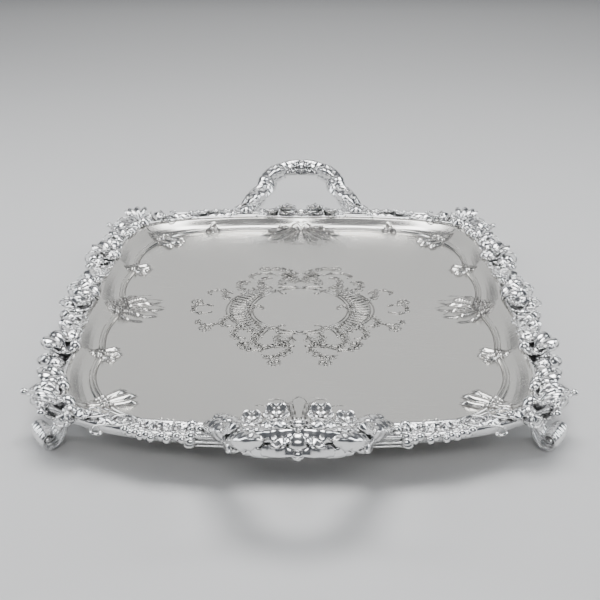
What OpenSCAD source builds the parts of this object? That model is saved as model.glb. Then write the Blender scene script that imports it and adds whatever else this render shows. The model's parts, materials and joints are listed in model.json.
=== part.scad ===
// Two-handled silver tray: a chased sheet with a cast border, two cast loop handles and four cast feet.
// Frame: +Y runs from one handle to the other, +X across, +Z up, origin on the table under the middle.

/* [Tray] */
// Width over the castings of the long sides
body_w = 528; // [480:4:580]
// Length of the body over the end castings, without the handles
body_l = 620; // [560:4:700]
// Height of the flat ground's top face above the table
ground_z = 30; // [28:1:36]
// Thickness of the sheet
sheet_t = 1.6; // [1.4:0.1:2.2]
// Rise from the flat ground to the ledge that carries the border
shoulder_h = 13; // [10:1:16]

/* [Border] */
// Thickness of the cast strap on the ledge
strap_t = 3; // [2.5:0.5:4]
// Drop of the cast skirt below the ledge
skirt_h = 10; // [6:1:11]
// Thickness of the cast skirt
skirt_t = 4; // [3:0.5:5]
// Height of the scrolls above the strap
relief_h = 6; // [4:0.5:7]

/* [Handles] */
// Reach of the grip's middle line beyond the end castings
handle_reach = 70; // [60:1:80]
// Rise of the grip's middle line above the ledge
handle_rise = 41; // [34:1:48]
// Half the spread of the two legs, on their middle lines
handle_half = 51; // [46:1:56]
// Radius of the grip
grip_r = 7; // [6:0.5:8]

/* [Feet] */
// Width of the rolled toe
toe_w = 24; // [18:1:28]
// Radius of the rolled toe
toe_r = 9; // [8:0.5:10]

/* [Hidden] */
half_w = body_w / 2;
half_l = body_l / 2;
seat_z = ground_z + shoulder_h;      // top of the ledge, where the castings sit
strap_top = seat_z + strap_t;
steps = 10;                          // straight pieces in one arc of an outline
toe_sink = 1;                        // how far the toe's roll is cut flat at the table
sweep_sides = 12;

// Lines round one quarter of the tray, from the middle of a long side to the middle of an end.
// Each is five cusps, in fractions of the half width and the half length, then four bulges in mm.
GROUND = [[[0.742, 0], [0.765, 0.38], [0.680, 0.718], [0.455, 0.830], [0, 0.825]], [9, 11, 8, 9]];
RIM    = [[[0.872, 0], [0.868, 0.40], [0.815, 0.793], [0.462, 0.890], [0, 0.900]], [4, 5, 6, 4]];
EDGE   = [[[0.935, 0], [0.940, 0.42], [0.885, 0.840], [0.465, 0.950], [0, 0.960]], [2, 3, 8, 2]];
OUTER  = [[[0.962, 0], [0.982, 0.43], [0.922, 0.865], [0.468, 0.975], [0, 0.990]], [0, 2, 8, 2]];

// Places along the quarter, in tenths of an arc, where one casting meets the next
SHELL_END = 4;
SIDE_SCROLL_END = 8;
SIDE_FLOWER_END = 13;
CORNER_END = 25;
END_SCROLL_END = 28;
END_FLOWER_END = 32;
COLLAR_END = 35;
QUARTER_END = 40;

SILVER = "silver";
SATIN = "lightgray";

// ---- outlines ---------------------------------------------------------------------------------

function mixed(a, b, t) = a * (1 - t) + b * t;
function place_of(line, i) = [line[0][i][0] * half_w, line[0][i][1] * half_l];

// The point at tenth k of the quarter: cusp to cusp along an arc that bulges outwards
function on_line(line, k) =
  let (i = min(floor(k / steps), 3),
       t = k / steps - i,
       a = place_of(line, i),
       b = place_of(line, i + 1),
       d = (b - a) / norm(b - a))
  mixed(a, b, t) + [d[1], -d[0]] * line[1][i] * sin(180 * t);

// The same point between two lines, at share u of the way
function between(line_a, line_b, k, u) = mixed(on_line(line_a, k), on_line(line_b, k), u);

// The point at tenth k, moved inwards from a line by a distance
function inside_of(line, k, distance) =
  let (p = on_line(line, k), q = on_line(RIM, k))
  p + (q - p) / norm(q - p) * distance;

// Tenth k counted all the way round, 0 to 159, as [tenth of the quarter, sign of x, sign of y]
function folded(k) =
  k < 40 ? [k, 1, 1] :
  k < 80 ? [80 - k, -1, 1] :
  k < 120 ? [k - 80, -1, -1] :
  [160 - k, 1, -1];

function all_round(line_a, line_b, u) =
  [for (k = [0 : 4 * QUARTER_END - 1])
    let (f = folded(k), p = between(line_a, line_b, f[0], u))
    [p[0] * f[1], p[1] * f[2]]];

// The strip of the border between two lines and two places
function strip(line_a, line_b, k0, k1) = concat(
  [for (k = [k0 : k1]) on_line(line_a, k)],
  [for (k = [k1 : -1 : k0]) on_line(line_b, k)]);

// ---- small ornaments --------------------------------------------------------------------------

// A scroll that rolls up into a volute, starting at the origin and setting out along +X
module volute(size, width, height) {
  n = 18;
  turns = 0.95;
  radius = function(t) size * (1 - 0.78 * t);
  centre = [0, size];
  at = function(t, side)
    centre + (radius(t) + side * width * (1 - 0.5 * t) / 2)
    * [sin(360 * turns * t), -cos(360 * turns * t)];
  linear_extrude(height)
    polygon(concat([for (i = [0 : n]) at(i / n, 1)], [for (i = [n : -1 : 0]) at(i / n, -1)]));
  translate([centre[0], centre[1], 0])
    cylinder(r = size * 0.34, h = height + 1, $fn = 24);
}

// A fluted shell: lobes spread about +X from a hub at the origin
module fan(reach, spread, lobes, height) {
  per_lobe = 6;
  last = lobes * per_lobe;
  edge = function(i)
    let (a = spread * (i / last - 0.5), swell = abs(sin(180 * i / per_lobe)))
    (reach * (0.86 + 0.14 * swell)) * [cos(a), sin(a)];
  linear_extrude(height)
    polygon(concat([[0, -reach * 0.1]], [for (i = [0 : last]) edge(i)], [[0, reach * 0.1]]));
  for (j = [0 : lobes - 1])
    rotate(spread * ((j + 0.5) / lobes - 0.5))
      translate([reach * 0.12, 0, 0])
        leaf(reach * 0.80, reach * spread / lobes / 90, height + 1.5);
}

// A five-petalled flower with a raised eye
module flower(r, height) {
  petal = function(a) r * (0.72 + 0.28 * abs(sin(2.5 * a)));
  linear_extrude(height)
    polygon([for (a = [0 : 9 : 351]) petal(a) * [cos(a), sin(a)]]);
  cylinder(r = r * 0.34, h = height + r * 0.2, $fn = 24);
}

// A pointed leaf lying along +X
module leaf(length, width, height) {
  n = 8;
  half = function(t) width / 2 * pow(sin(180 * min(0.98, 0.12 + 0.86 * t)), 0.8);
  linear_extrude(height)
    polygon(concat(
      [for (i = [0 : n]) [length * i / n, half(i / n)]],
      [for (i = [n : -1 : 0]) [length * i / n, -half(i / n)]]));
}

// ---- placing ----------------------------------------------------------------------------------

// The quarter of the tray with the given signs of x and y
module quarter(x_sign, y_sign) {
  mirror([x_sign < 0 ? 1 : 0, 0, 0])
    mirror([0, y_sign < 0 ? 1 : 0, 0])
      children();
}

// A place on the border at tenth k and share u from the rim to the outer line, x outwards
module at_border(k, u, z, turn = 0) {
  p = between(RIM, OUTER, k, u);
  ahead = on_line(RIM, min(k + 1, QUARTER_END)) - on_line(RIM, max(k - 1, 0));
  translate([p[0], p[1], z])
    rotate(atan2(ahead[1], ahead[0]) - 90 + turn)
      children();
}

// ---- the sheet --------------------------------------------------------------------------------

// Profile of the shoulder as [share of the way from ground to rim, height above the ground's top face]
SHOULDER = [[0, 0], [0.10, 2.4], [0.22, 2.2], [0.45, 4.2], [0.70, 8.6], [0.88, 12], [1, 1]];

function shoulder_rise(i) = i < len(SHOULDER) - 1 ? SHOULDER[i][1] : shoulder_h;

module sheet() {
  last = len(SHOULDER) - 1;
  ring = 4 * QUARTER_END;
  lift = function(points, z) [for (p = points) [p[0], p[1], ground_z + z]];
  rings = concat(
    [for (i = [0 : last]) lift(all_round(GROUND, RIM, SHOULDER[i][0]), shoulder_rise(i))],
    [lift(all_round(EDGE, EDGE, 0), shoulder_h)],
    [lift(all_round(EDGE, EDGE, 0), shoulder_h - sheet_t)],
    [for (i = [last : -1 : 0]) lift(all_round(GROUND, RIM, SHOULDER[i][0]), shoulder_rise(i) - sheet_t)]);
  count = len(rings);
  polyhedron(
    points = [for (r = rings) each r],
    faces = concat(
      // the flat ground, above and below
      [[for (k = [ring - 1 : -1 : 0]) k]],
      [[for (k = [0 : ring - 1]) (count - 1) * ring + k]],
      [for (i = [0 : count - 2], k = [0 : ring - 1], half = [0, 1])
        let (m = (k + 1) % ring,
             a = i * ring + k, b = i * ring + m, c = (i + 1) * ring + m, d = (i + 1) * ring + k)
        half == 0 ? [a, b, c] : [a, c, d]]),
    convexity = 8);
}

module tray_plate() {
  color(SATIN)
    sheet();
}

// ---- the border -------------------------------------------------------------------------------

// The strap on the ledge and the skirt that hides the sheet's edge
module strap(k0, k1) {
  translate([0, 0, seat_z])
    linear_extrude(strap_t)
      polygon(strip(RIM, OUTER, k0, k1));
  translate([0, 0, seat_z - skirt_h])
    linear_extrude(skirt_h + 1)
      polygon(concat(
        [for (k = [k0 : k1]) inside_of(OUTER, k, skirt_t)],
        [for (k = [k1 : -1 : k0]) on_line(OUTER, k)]));
}

module corner_casting() {
  color(SILVER) {
    strap(SIDE_FLOWER_END, CORNER_END);
    // the crown shell leans back as it rises outwards
    at_border(20, 0.15, strap_top - 2)
      rotate([0, -22, 0])
        fan(36, 110, 5, 4);
    at_border(14.5, 0.75, strap_top - 1)
      volute(8, 5, relief_h + 1);
    at_border(17, 0.7, strap_top - 1, 60)
      volute(9, 5, relief_h + 2);
    at_border(23, 0.7, strap_top - 1, 180)
      volute(8, 5, relief_h + 2);
    at_border(16, 0.45, strap_top - 1, 80)
      leaf(30, 12, relief_h + 4);
  }
}

module side_shell_casting() {
  color(SILVER)
    for (y_sign = [-1, 1])
      mirror([0, y_sign < 0 ? 1 : 0, 0]) {
        strap(0, SHELL_END);
        // the hooked scroll that stands out past the strap
        at_border(1, 0.8, seat_z - 2, -25)
          volute(9, 7, strap_t + relief_h + 4);
        at_border(0.6, 0.1, strap_top - 1, 50)
          leaf(26, 13, relief_h + 4);
        at_border(3.4, 0.5, strap_top - 1)
          flower(8, relief_h);
      }
}

module side_scroll_casting() {
  color(SILVER) {
    strap(SHELL_END, SIDE_SCROLL_END);
    at_border(5, 0.55, strap_top - 1, 90)
      volute(7, 5, relief_h + 1);
    at_border(7, 0.3, strap_top - 1, 60)
      leaf(24, 10, relief_h);
  }
}

module side_flower_casting() {
  color(SILVER) {
    strap(SIDE_SCROLL_END, SIDE_FLOWER_END);
    at_border(9, 0.45, strap_top - 1)
      flower(9, relief_h + 1);
    at_border(10.5, 0.7, strap_top - 1)
      flower(11, relief_h + 2);
    at_border(12, 0.45, strap_top - 1)
      flower(9, relief_h + 1);
  }
}

module end_scroll_casting() {
  color(SILVER) {
    strap(CORNER_END, END_SCROLL_END);
    at_border(26.5, 0.4, strap_top - 1, 90)
      volute(6, 4, relief_h);
  }
}

module end_flower_casting() {
  color(SILVER) {
    strap(END_SCROLL_END, END_FLOWER_END);
    at_border(28.8, 0.5, strap_top - 1, 8)
      flower(7.5, relief_h + 1);
    at_border(29.9, 0.5, strap_top - 1, 20)
      flower(11, relief_h + 2);
    at_border(31.2, 0.5, strap_top - 1, 8)
      flower(7.5, relief_h);
  }
}

module collar_casting() {
  color(SILVER) {
    strap(END_FLOWER_END, COLLAR_END);
    at_border(33.8, 0.6, strap_top - 1)
      cylinder(r = 10, h = 4, $fn = 48);
    at_border(32.4, 0.6, strap_top - 1, 110)
      volute(5, 4, relief_h);
  }
}

module end_shell_casting() {
  color(SILVER) {
    for (x_sign = [-1, 1])
      mirror([x_sign < 0 ? 1 : 0, 0, 0]) {
        strap(COLLAR_END, QUARTER_END);
        at_border(38.8, 0.75, strap_top - 1, 90)
          volute(7, 5, relief_h + 5);
        at_border(37, 0.3, strap_top - 1, 150)
          leaf(26, 12, relief_h);
      }
    // the oval boss between the volutes
    translate([0, on_line(RIM, QUARTER_END)[1] + 14, strap_top - 1])
      scale([1, 0.75, 1])
        cylinder(r = 10, h = relief_h + 4, $fn = 48);
  }
}

// ---- the handles ------------------------------------------------------------------------------

function root_xy() = between(RIM, OUTER, 33.8, 0.6);
function root_z() = strap_top + 3;

// The loop's middle line at share t of one half, from the root to the top of the grip
function loop_at(t) =
  let (root = [root_xy()[0], root_xy()[1], root_z()],
       shoulder_point = [handle_half, half_l + handle_reach * 0.5, seat_z + handle_rise * 0.62],
       turn = min(1, max(0, (t - 0.5) / 0.5)),
       leg = min(1, t / 0.5))
  t < 0.5
    ? let (u = leg, a = root, b = root + [-1, 3, 8], c = shoulder_point - [0, 14, 9], d = shoulder_point)
      a * pow(1 - u, 3) + b * 3 * u * pow(1 - u, 2) + c * 3 * u * u * (1 - u) + d * pow(u, 3)
    : [handle_half * cos(90 * turn),
       mixed(shoulder_point[1], half_l + handle_reach, sin(90 * turn)),
       mixed(shoulder_point[2], seat_z + handle_rise, sin(90 * turn))];

function loop_r(t) = grip_r + 2.2 * pow(1 - t, 2) + 0.9 * pow(sin(540 * t), 2);

module loop_tube() {
  half_rings = 16;
  rings = 2 * half_rings;
  share = function(i) 1 - abs(i - half_rings) / half_rings;
  side = function(i) i <= half_rings ? 1 : -1;
  point = function(i) let (p = loop_at(share(i))) [p[0] * side(i), p[1], p[2]];
  // the end rings lie level, so that they sit flat on the collars
  along = function(i)
    i == 0 ? [0, 0, 1] : i == rings ? [0, 0, -1] : (point(i + 1) - point(i - 1)) / norm(point(i + 1) - point(i - 1));
  ring = function(i)
    let (w = along(i), u = cross(w, [0, -0.5, 0.866]), un = u / norm(u), v = cross(w, un))
    [for (j = [0 : sweep_sides - 1])
      point(i) + loop_r(share(i)) * (un * cos(360 * j / sweep_sides) + v * sin(360 * j / sweep_sides))];
  polyhedron(
    points = [for (i = [0 : rings]) each ring(i)],
    faces = concat(
      [[for (j = [sweep_sides - 1 : -1 : 0]) j]],
      [[for (j = [0 : sweep_sides - 1]) rings * sweep_sides + j]],
      [for (i = [0 : rings - 1], j = [0 : sweep_sides - 1], half = [0, 1])
        let (m = (j + 1) % sweep_sides,
             a = i * sweep_sides + j, b = i * sweep_sides + m,
             c = (i + 1) * sweep_sides + m, d = (i + 1) * sweep_sides + j)
        half == 0 ? [a, b, c] : [a, c, d]]),
    convexity = 6);
}

module handle() {
  color(SILVER)
    loop_tube();
}

// ---- the feet ---------------------------------------------------------------------------------

foot_turn = 32;                      // the toe points outwards at this angle from +X
pad_t = 3;

// Middle line of the leg in its own upright plane: x outwards, y up
function leg_at(t) = [
  2 + 8 * sin(250 * t - 20) * (1 - 0.4 * t) + 13 * t * t,
  (seat_z - sheet_t - pad_t) * (1 - t) + toe_r * t];

module foot() {
  n = 14;
  side = function(t, s)
    let (d = leg_at(t + 0.01) - leg_at(t - 0.01), w = 8 - 3 * t)
    leg_at(t) + s * w / 2 * [d[1], -d[0]] / norm(d);
  hub = between(RIM, EDGE, 19, 0.4);
  toe = leg_at(1);
  color(SILVER)
    translate([hub[0], hub[1], 0])
      rotate(foot_turn)
        difference() {
          union() {
            rotate([90, 0, 0])
              translate([0, 0, -toe_w / 2])
                linear_extrude(toe_w)
                  polygon(concat([for (i = [0 : n]) side(i / n, 1)], [for (i = [n : -1 : 0]) side(i / n, -1)]));
            translate([toe[0], toe_w / 2, toe_r - toe_sink])
              rotate([90, 0, 0])
                cylinder(r = toe_r, h = toe_w, $fn = 48);
            translate([-10, -toe_w / 2 - 2, seat_z - sheet_t - pad_t])
              cube([18, toe_w + 4, pad_t]);
          }
          translate([-60, -60, -20])
            cube([120, 120, 20]);
        }
}

// ---- one module for each node -----------------------------------------------------------------

module corner_front_left() { quarter(-1, -1) corner_casting(); }
module corner_front_right() { quarter(1, -1) corner_casting(); }
module corner_back_left() { quarter(-1, 1) corner_casting(); }
module corner_back_right() { quarter(1, 1) corner_casting(); }
module side_shell_left() { quarter(-1, 1) side_shell_casting(); }
module side_shell_right() { quarter(1, 1) side_shell_casting(); }
module side_scroll_front_left() { quarter(-1, -1) side_scroll_casting(); }
module side_scroll_front_right() { quarter(1, -1) side_scroll_casting(); }
module side_scroll_back_left() { quarter(-1, 1) side_scroll_casting(); }
module side_scroll_back_right() { quarter(1, 1) side_scroll_casting(); }
module side_flower_front_left() { quarter(-1, -1) side_flower_casting(); }
module side_flower_front_right() { quarter(1, -1) side_flower_casting(); }
module side_flower_back_left() { quarter(-1, 1) side_flower_casting(); }
module side_flower_back_right() { quarter(1, 1) side_flower_casting(); }
module end_scroll_front_left() { quarter(-1, -1) end_scroll_casting(); }
module end_scroll_front_right() { quarter(1, -1) end_scroll_casting(); }
module end_scroll_back_left() { quarter(-1, 1) end_scroll_casting(); }
module end_scroll_back_right() { quarter(1, 1) end_scroll_casting(); }
module end_flower_front_left() { quarter(-1, -1) end_flower_casting(); }
module end_flower_front_right() { quarter(1, -1) end_flower_casting(); }
module end_flower_back_left() { quarter(-1, 1) end_flower_casting(); }
module end_flower_back_right() { quarter(1, 1) end_flower_casting(); }
module collar_front_left() { quarter(-1, -1) collar_casting(); }
module collar_front_right() { quarter(1, -1) collar_casting(); }
module collar_back_left() { quarter(-1, 1) collar_casting(); }
module collar_back_right() { quarter(1, 1) collar_casting(); }
module end_shell_front() { quarter(1, -1) end_shell_casting(); }
module end_shell_back() { quarter(1, 1) end_shell_casting(); }
module handle_front() { quarter(1, -1) handle(); }
module handle_back() { quarter(1, 1) handle(); }
module foot_front_left() { quarter(-1, -1) foot(); }
module foot_front_right() { quarter(1, -1) foot(); }
module foot_back_left() { quarter(-1, 1) foot(); }
module foot_back_right() { quarter(1, 1) foot(); }

tray_plate();
corner_front_left();
corner_front_right();
corner_back_left();
corner_back_right();
side_shell_left();
side_shell_right();
side_scroll_front_left();
side_scroll_front_right();
side_scroll_back_left();
side_scroll_back_right();
side_flower_front_left();
side_flower_front_right();
side_flower_back_left();
side_flower_back_right();
end_scroll_front_left();
end_scroll_front_right();
end_scroll_back_left();
end_scroll_back_right();
end_flower_front_left();
end_flower_front_right();
end_flower_back_left();
end_flower_back_right();
collar_front_left();
collar_front_right();
collar_back_left();
collar_back_right();
end_shell_front();
end_shell_back();
handle_front();
handle_back();
foot_front_left();
foot_front_right();
foot_back_left();
foot_back_right();
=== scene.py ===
"""Two-handled silver tray: chased sheet, cast border, loop handles and scroll feet.

Everything is designed in millimetres in the quarter with positive x and y, then mirrored into the other
quarters and turned into metres when it becomes a mesh.
"""
import json
import logging
import math
from dataclasses import dataclass, field
from enum import Enum

import bpy
import numpy as np
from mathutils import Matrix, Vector
from mathutils.bvhtree import BVHTree


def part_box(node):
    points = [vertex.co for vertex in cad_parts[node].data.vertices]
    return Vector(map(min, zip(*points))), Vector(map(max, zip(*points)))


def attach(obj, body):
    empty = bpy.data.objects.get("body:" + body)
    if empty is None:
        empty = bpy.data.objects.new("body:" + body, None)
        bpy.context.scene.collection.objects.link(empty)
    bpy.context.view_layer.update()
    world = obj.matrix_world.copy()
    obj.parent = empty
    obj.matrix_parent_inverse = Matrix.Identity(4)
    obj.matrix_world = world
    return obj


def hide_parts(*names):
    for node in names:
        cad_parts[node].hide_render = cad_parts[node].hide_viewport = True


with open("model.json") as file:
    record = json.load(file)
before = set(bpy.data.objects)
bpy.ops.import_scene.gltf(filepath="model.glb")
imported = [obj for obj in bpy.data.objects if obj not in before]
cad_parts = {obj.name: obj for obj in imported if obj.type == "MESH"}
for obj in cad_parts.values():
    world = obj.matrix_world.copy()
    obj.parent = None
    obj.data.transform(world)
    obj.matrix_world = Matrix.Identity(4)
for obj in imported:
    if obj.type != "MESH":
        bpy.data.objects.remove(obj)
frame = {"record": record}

LOG = logging.getLogger("tray")
MM = 0.001
PLACES_ROUND = 160
END_MIDDLE = 40
LEAF_UP = 1.4
BOLD = {"reeds": 2, "groove": 0.06}
Array = np.ndarray
Spans = list[tuple[float, float, float]]


class Quarter(Enum):
    """The four quarters of the tray, as (sign of x, sign of y)."""

    FRONT_LEFT = (-1, -1)
    FRONT_RIGHT = (1, -1)
    BACK_LEFT = (-1, 1)
    BACK_RIGHT = (1, 1)

    @property
    def label(self) -> str:
        """The quarter's name as the CAD nodes have it."""
        return self.name.lower()


class Flute(Enum):
    """How the lobes of a shell stand: as round swellings or as hollows between ridges."""

    SWELLING = 1
    HOLLOW = -1


# ---- shapes ------------------------------------------------------------------------------------------------


@dataclass
class Shape:
    """Points in millimetres and faces over them, built up piece by piece."""

    points: list[Array] = field(default_factory=list)
    faces: list[tuple[int, ...]] = field(default_factory=list)
    count: int = 0

    def add(self, points: Array, faces: list[tuple[int, ...]]) -> "Shape":
        """Add one closed body.

        Args:
            points: its points, one row each.
            faces: its faces, counted from its own first point.

        Returns:
            The shape itself.
        """
        start = self.count
        self.points.append(np.asarray(points, float).reshape(-1, 3))
        self.faces.extend(tuple(i + start for i in face) for face in faces)
        self.count += len(self.points[-1])
        return self

    def join(self, other: "Shape") -> "Shape":
        """Add all of another shape's bodies and return the shape itself."""
        return self.add(other.all_points(), other.faces) if other.count else self

    def all_points(self) -> Array:
        """Every point in one table."""
        return np.concatenate(self.points) if self.points else np.zeros((0, 3))

    def mapped(self, rule) -> "Shape":
        """The same bodies with their points moved by a rule that takes and returns a table of points."""
        return Shape([rule(self.all_points())], list(self.faces), self.count)

    def mirrored(self, quarter: Quarter) -> "Shape":
        """The same bodies in another quarter, with their faces still outwards."""
        sx, sy = quarter.value
        faces = self.faces if sx * sy > 0 else [face[::-1] for face in self.faces]
        return Shape([self.all_points() * (sx, sy, 1)], list(faces), self.count)


def grid_faces(rows: int, columns: int, start: int = 0, flip: bool = False) -> list[tuple[int, ...]]:
    """Quads over a table of points.

    Args:
        rows: rows in the table.
        columns: points in each row.
        start: number of the first point.
        flip: turn the faces over.

    Returns:
        The faces.
    """
    made = []
    for i in range(rows - 1):
        for j in range(columns - 1):
            a = start + i * columns + j
            quad = (a, a + columns, a + columns + 1, a + 1)
            made.append(quad[::-1] if flip else quad)
    return made


def slab(top: Array, thickness: float) -> Shape:
    """A closed sheet under a table of points.

    Args:
        top: rows by columns by 3, its faces upwards when rows run along x and columns along y.
        thickness: how thick the sheet is.

    Returns:
        The closed shape.
    """
    rows, columns = top.shape[:2]
    along, across = np.gradient(top, axis=0), np.gradient(top, axis=1)
    normal = np.cross(along, across)
    normal /= np.maximum(np.linalg.norm(normal, axis=2, keepdims=True), 1e-9)
    under = top - normal * thickness
    half = rows * columns
    faces = grid_faces(rows, columns) + grid_faces(rows, columns, half, True)
    rim = ([i * columns for i in range(rows)] + [(rows - 1) * columns + j for j in range(1, columns)]
           + [i * columns + columns - 1 for i in range(rows - 2, -1, -1)] + list(range(columns - 2, 0, -1)))
    for a, b in zip(rim, rim[1:] + rim[:1]):
        faces.append((b, a, a + half, b + half))
    return Shape().add(np.concatenate([top.reshape(-1, 3), under.reshape(-1, 3)]), faces)


def outward(shape: Shape) -> Shape:
    """A closed body with its faces turned outwards, if they all point inwards."""
    p = shape.all_points()
    volume = 0.0
    for face in shape.faces:
        fan = [(face[0], face[i], face[i + 1]) for i in range(1, len(face) - 1)]
        volume += sum(float(np.dot(p[a], np.cross(p[b], p[c]))) for a, b, c in fan)
    return shape if volume > 0 else Shape(shape.points, [face[::-1] for face in shape.faces], shape.count)


def dome(radius_x: float, radius_y: float, height: float, rings: int = 6, sides: int = 16) -> Shape:
    """A closed half ellipsoid standing on the origin."""
    points, faces = [], []
    for i in range(rings):
        a = math.pi / 2 * i / rings
        for j in range(sides):
            b = math.tau * j / sides
            points.append((radius_x * math.cos(a) * math.cos(b), radius_y * math.cos(a) * math.sin(b),
                           height * math.sin(a)))
    points.append((0, 0, height))
    for i in range(rings - 1):
        for j in range(sides):
            k = (j + 1) % sides
            faces.append((i * sides + j, i * sides + k, (i + 1) * sides + k, (i + 1) * sides + j))
    last = (rings - 1) * sides
    faces += [(last + j, last + (j + 1) % sides, rings * sides) for j in range(sides)]
    faces.append(tuple(range(sides - 1, -1, -1)))
    return Shape().add(np.array(points), faces)


def leaf(length: float, width: float, lobes: int = 4, arch: float = 35, curl: float = -70,
         ridge: float = 1.2, thickness: float = 1.2) -> Shape:
    """An acanthus leaf that grows along +x from the origin.

    Args:
        length: along its spine.
        width: across its widest lobes.
        lobes: lobes on each side.
        arch: the angle at which it leaves the ground, in degrees.
        curl: the angle of its tip, in degrees.
        ridge: height of the veins.
        thickness: of the cast metal.

    Returns:
        The closed leaf.
    """
    rows, columns = 5 * lobes + 7, 11
    t = np.linspace(0, 1, rows)
    angle = np.radians(arch + (curl - arch) * t ** 1.3)
    step = length / (rows - 1)
    spine_x = np.concatenate([[0], np.cumsum(np.cos(angle[:-1]) * step)])
    spine_z = np.concatenate([[0], np.cumsum(np.sin(angle[:-1]) * step)])
    outline = np.sin(np.pi * np.clip(0.10 + 0.90 * t, 0, 1)) ** 0.6
    notch = 0.80 + 0.20 * np.abs(np.sin(np.pi * lobes * t))
    half = np.maximum(width / 2 * outline * notch, width * 0.03)
    v = np.linspace(-1, 1, columns)
    tt, vv = np.meshgrid(t, v, indexing="ij")
    lean = 0.16 * length / lobes * np.abs(vv) ** 1.5 * outline[:, None]
    vein = ridge * (0.8 * np.exp(-(vv / 0.22) ** 2) - 0.5 * np.abs(vv)
                    * np.cos(math.tau * lobes * tt - 2.2 * np.abs(vv)) * outline[:, None])
    lift = vein - 0.16 * width * vv ** 2
    across = half[:, None] * vv
    x = spine_x[:, None] + lean * np.cos(angle)[:, None] - lift * np.sin(angle)[:, None]
    z = spine_z[:, None] + lean * np.sin(angle)[:, None] + lift * np.cos(angle)[:, None]
    return slab(np.stack([x, across, z], axis=2), thickness)


def stout_leaf(size: float, arch: float, curl: float) -> Shape:
    """A thick three-lobed leaf of the border, with a strong midrib."""
    return leaf(size, size * 0.7, 3, arch=arch, curl=curl, ridge=2.2, thickness=1.8)


def shell(radius: float, spread: float, lobes: int, rise: float = 30, curl: float = 0,
          depth: float = 1.6, flute: Flute = Flute.HOLLOW, thickness: float = 1.4) -> Shape:
    """A fluted shell that opens along +x from a hub at the origin.

    Args:
        radius: from hub to edge.
        spread: the fan's angle, in degrees.
        lobes: how many flutes.
        rise: the slope at the hub, in degrees.
        curl: the slope at the edge, in degrees.
        depth: of the flutes.
        flute: round swellings or hollows.
        thickness: of the cast metal.

    Returns:
        The closed shell.
    """
    rows, columns = 11, 6 * lobes + 1
    t = np.linspace(0, 1, rows)
    s = np.linspace(0, 1, columns)
    slope = np.radians(rise + (curl - rise) * t)
    step = radius / (rows - 1)
    reach = np.concatenate([[0], np.cumsum(np.cos(slope[:-1]) * step)]) + radius * 0.06
    height = np.concatenate([[0], np.cumsum(np.sin(slope[:-1]) * step)])
    wave = np.abs(np.sin(np.pi * lobes * s))
    tt, ww = np.meshgrid(t, wave, indexing="ij")
    middle = 1 - 0.16 * np.abs(2 * s - 1) ** 2
    out = reach[:, None] * (1 + 0.10 * (tt ** 3) * (ww - 0.5)) * middle
    groove = ww if flute is Flute.SWELLING else 1 - np.sqrt(ww)
    lift = depth * tt * groove - 0.15 * depth * (1 - tt)
    angle = np.radians(spread) * (s - 0.5)
    top = np.stack([out * np.cos(angle), out * np.sin(angle), height[:, None] + lift], axis=2)
    return slab(top, thickness)


def rosette(radius: float, petals: int = 6, cup: float = 25) -> Shape:
    """A small open flower with a domed eye, standing on the origin."""
    made = Shape()
    rows, columns = 6, 5
    t, v = np.meshgrid(np.linspace(0, 1, rows), np.linspace(-1, 1, columns), indexing="ij")
    half = radius * math.sin(math.pi / petals) * 1.05
    width = half * np.sin(np.pi * np.clip(0.12 + 0.76 * t, 0, 1))
    x = radius * (0.18 + 0.82 * t) + 0.12 * radius * (1 - np.abs(v)) * t
    hollow = 0.22 * radius * (1 - v ** 2) * np.sin(np.pi * t) * 0.6
    z = radius * math.tan(math.radians(cup)) * t ** 1.4 - hollow
    petal = slab(np.stack([x, width * v, z + 0.12 * radius], axis=2), 0.09 * radius)
    for k in range(petals):
        made.join(turned(petal, yaw=360 * k / petals))
    return made.join(dome(radius * 0.30, radius * 0.30, radius * 0.42))


def turned(shape: Shape, yaw: float = 0, pitch: float = 0, roll: float = 0,
           at: tuple[float, float, float] = (0, 0, 0), size: float = 1) -> Shape:
    """A shape scaled, rolled about x, pitched up about y, turned about z, then moved.

    Args:
        shape: what to turn.
        yaw: about z, in degrees.
        pitch: lifts the +x end, in degrees.
        roll: about x, in degrees.
        at: where its origin goes.
        size: its scale.

    Returns:
        The turned copy.
    """
    a, b, c = math.radians(yaw), math.radians(pitch), math.radians(roll)
    about_x = np.array([[1, 0, 0], [0, math.cos(c), -math.sin(c)], [0, math.sin(c), math.cos(c)]])
    about_y = np.array([[math.cos(b), 0, -math.sin(b)], [0, 1, 0], [math.sin(b), 0, math.cos(b)]])
    about_z = np.array([[math.cos(a), -math.sin(a), 0], [math.sin(a), math.cos(a), 0], [0, 0, 1]])
    matrix = about_z @ about_y @ about_x
    return shape.mapped(lambda p: (p * size) @ matrix.T + np.array(at))


# ---- scroll lines ------------------------------------------------------------------------------------------


def wander(start: tuple[float, float], heading: float, spans: Spans, step: float = 14) -> Array:
    """A flat line that turns as it goes, for scrolls and volutes.

    Args:
        start: where it sets out.
        heading: its first direction, in degrees.
        spans: each (turn in degrees, radius at its start, radius at its end).
        step: the largest turn between two points, in degrees.

    Returns:
        Its points, two columns.
    """
    here, way = np.array(start, float), math.radians(heading)
    line = [here.copy()]
    for turn, first, last in spans:
        count = max(2, int(abs(turn) / step) + 1)
        for i in range(count):
            radius = first + (last - first) * (i + 0.5) / count
            delta = math.radians(turn) / count
            middle = way + delta / 2
            here = here + abs(delta) * radius * np.array([math.cos(middle), math.sin(middle)])
            way += delta
            line.append(here.copy())
    return np.array(line)


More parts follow.
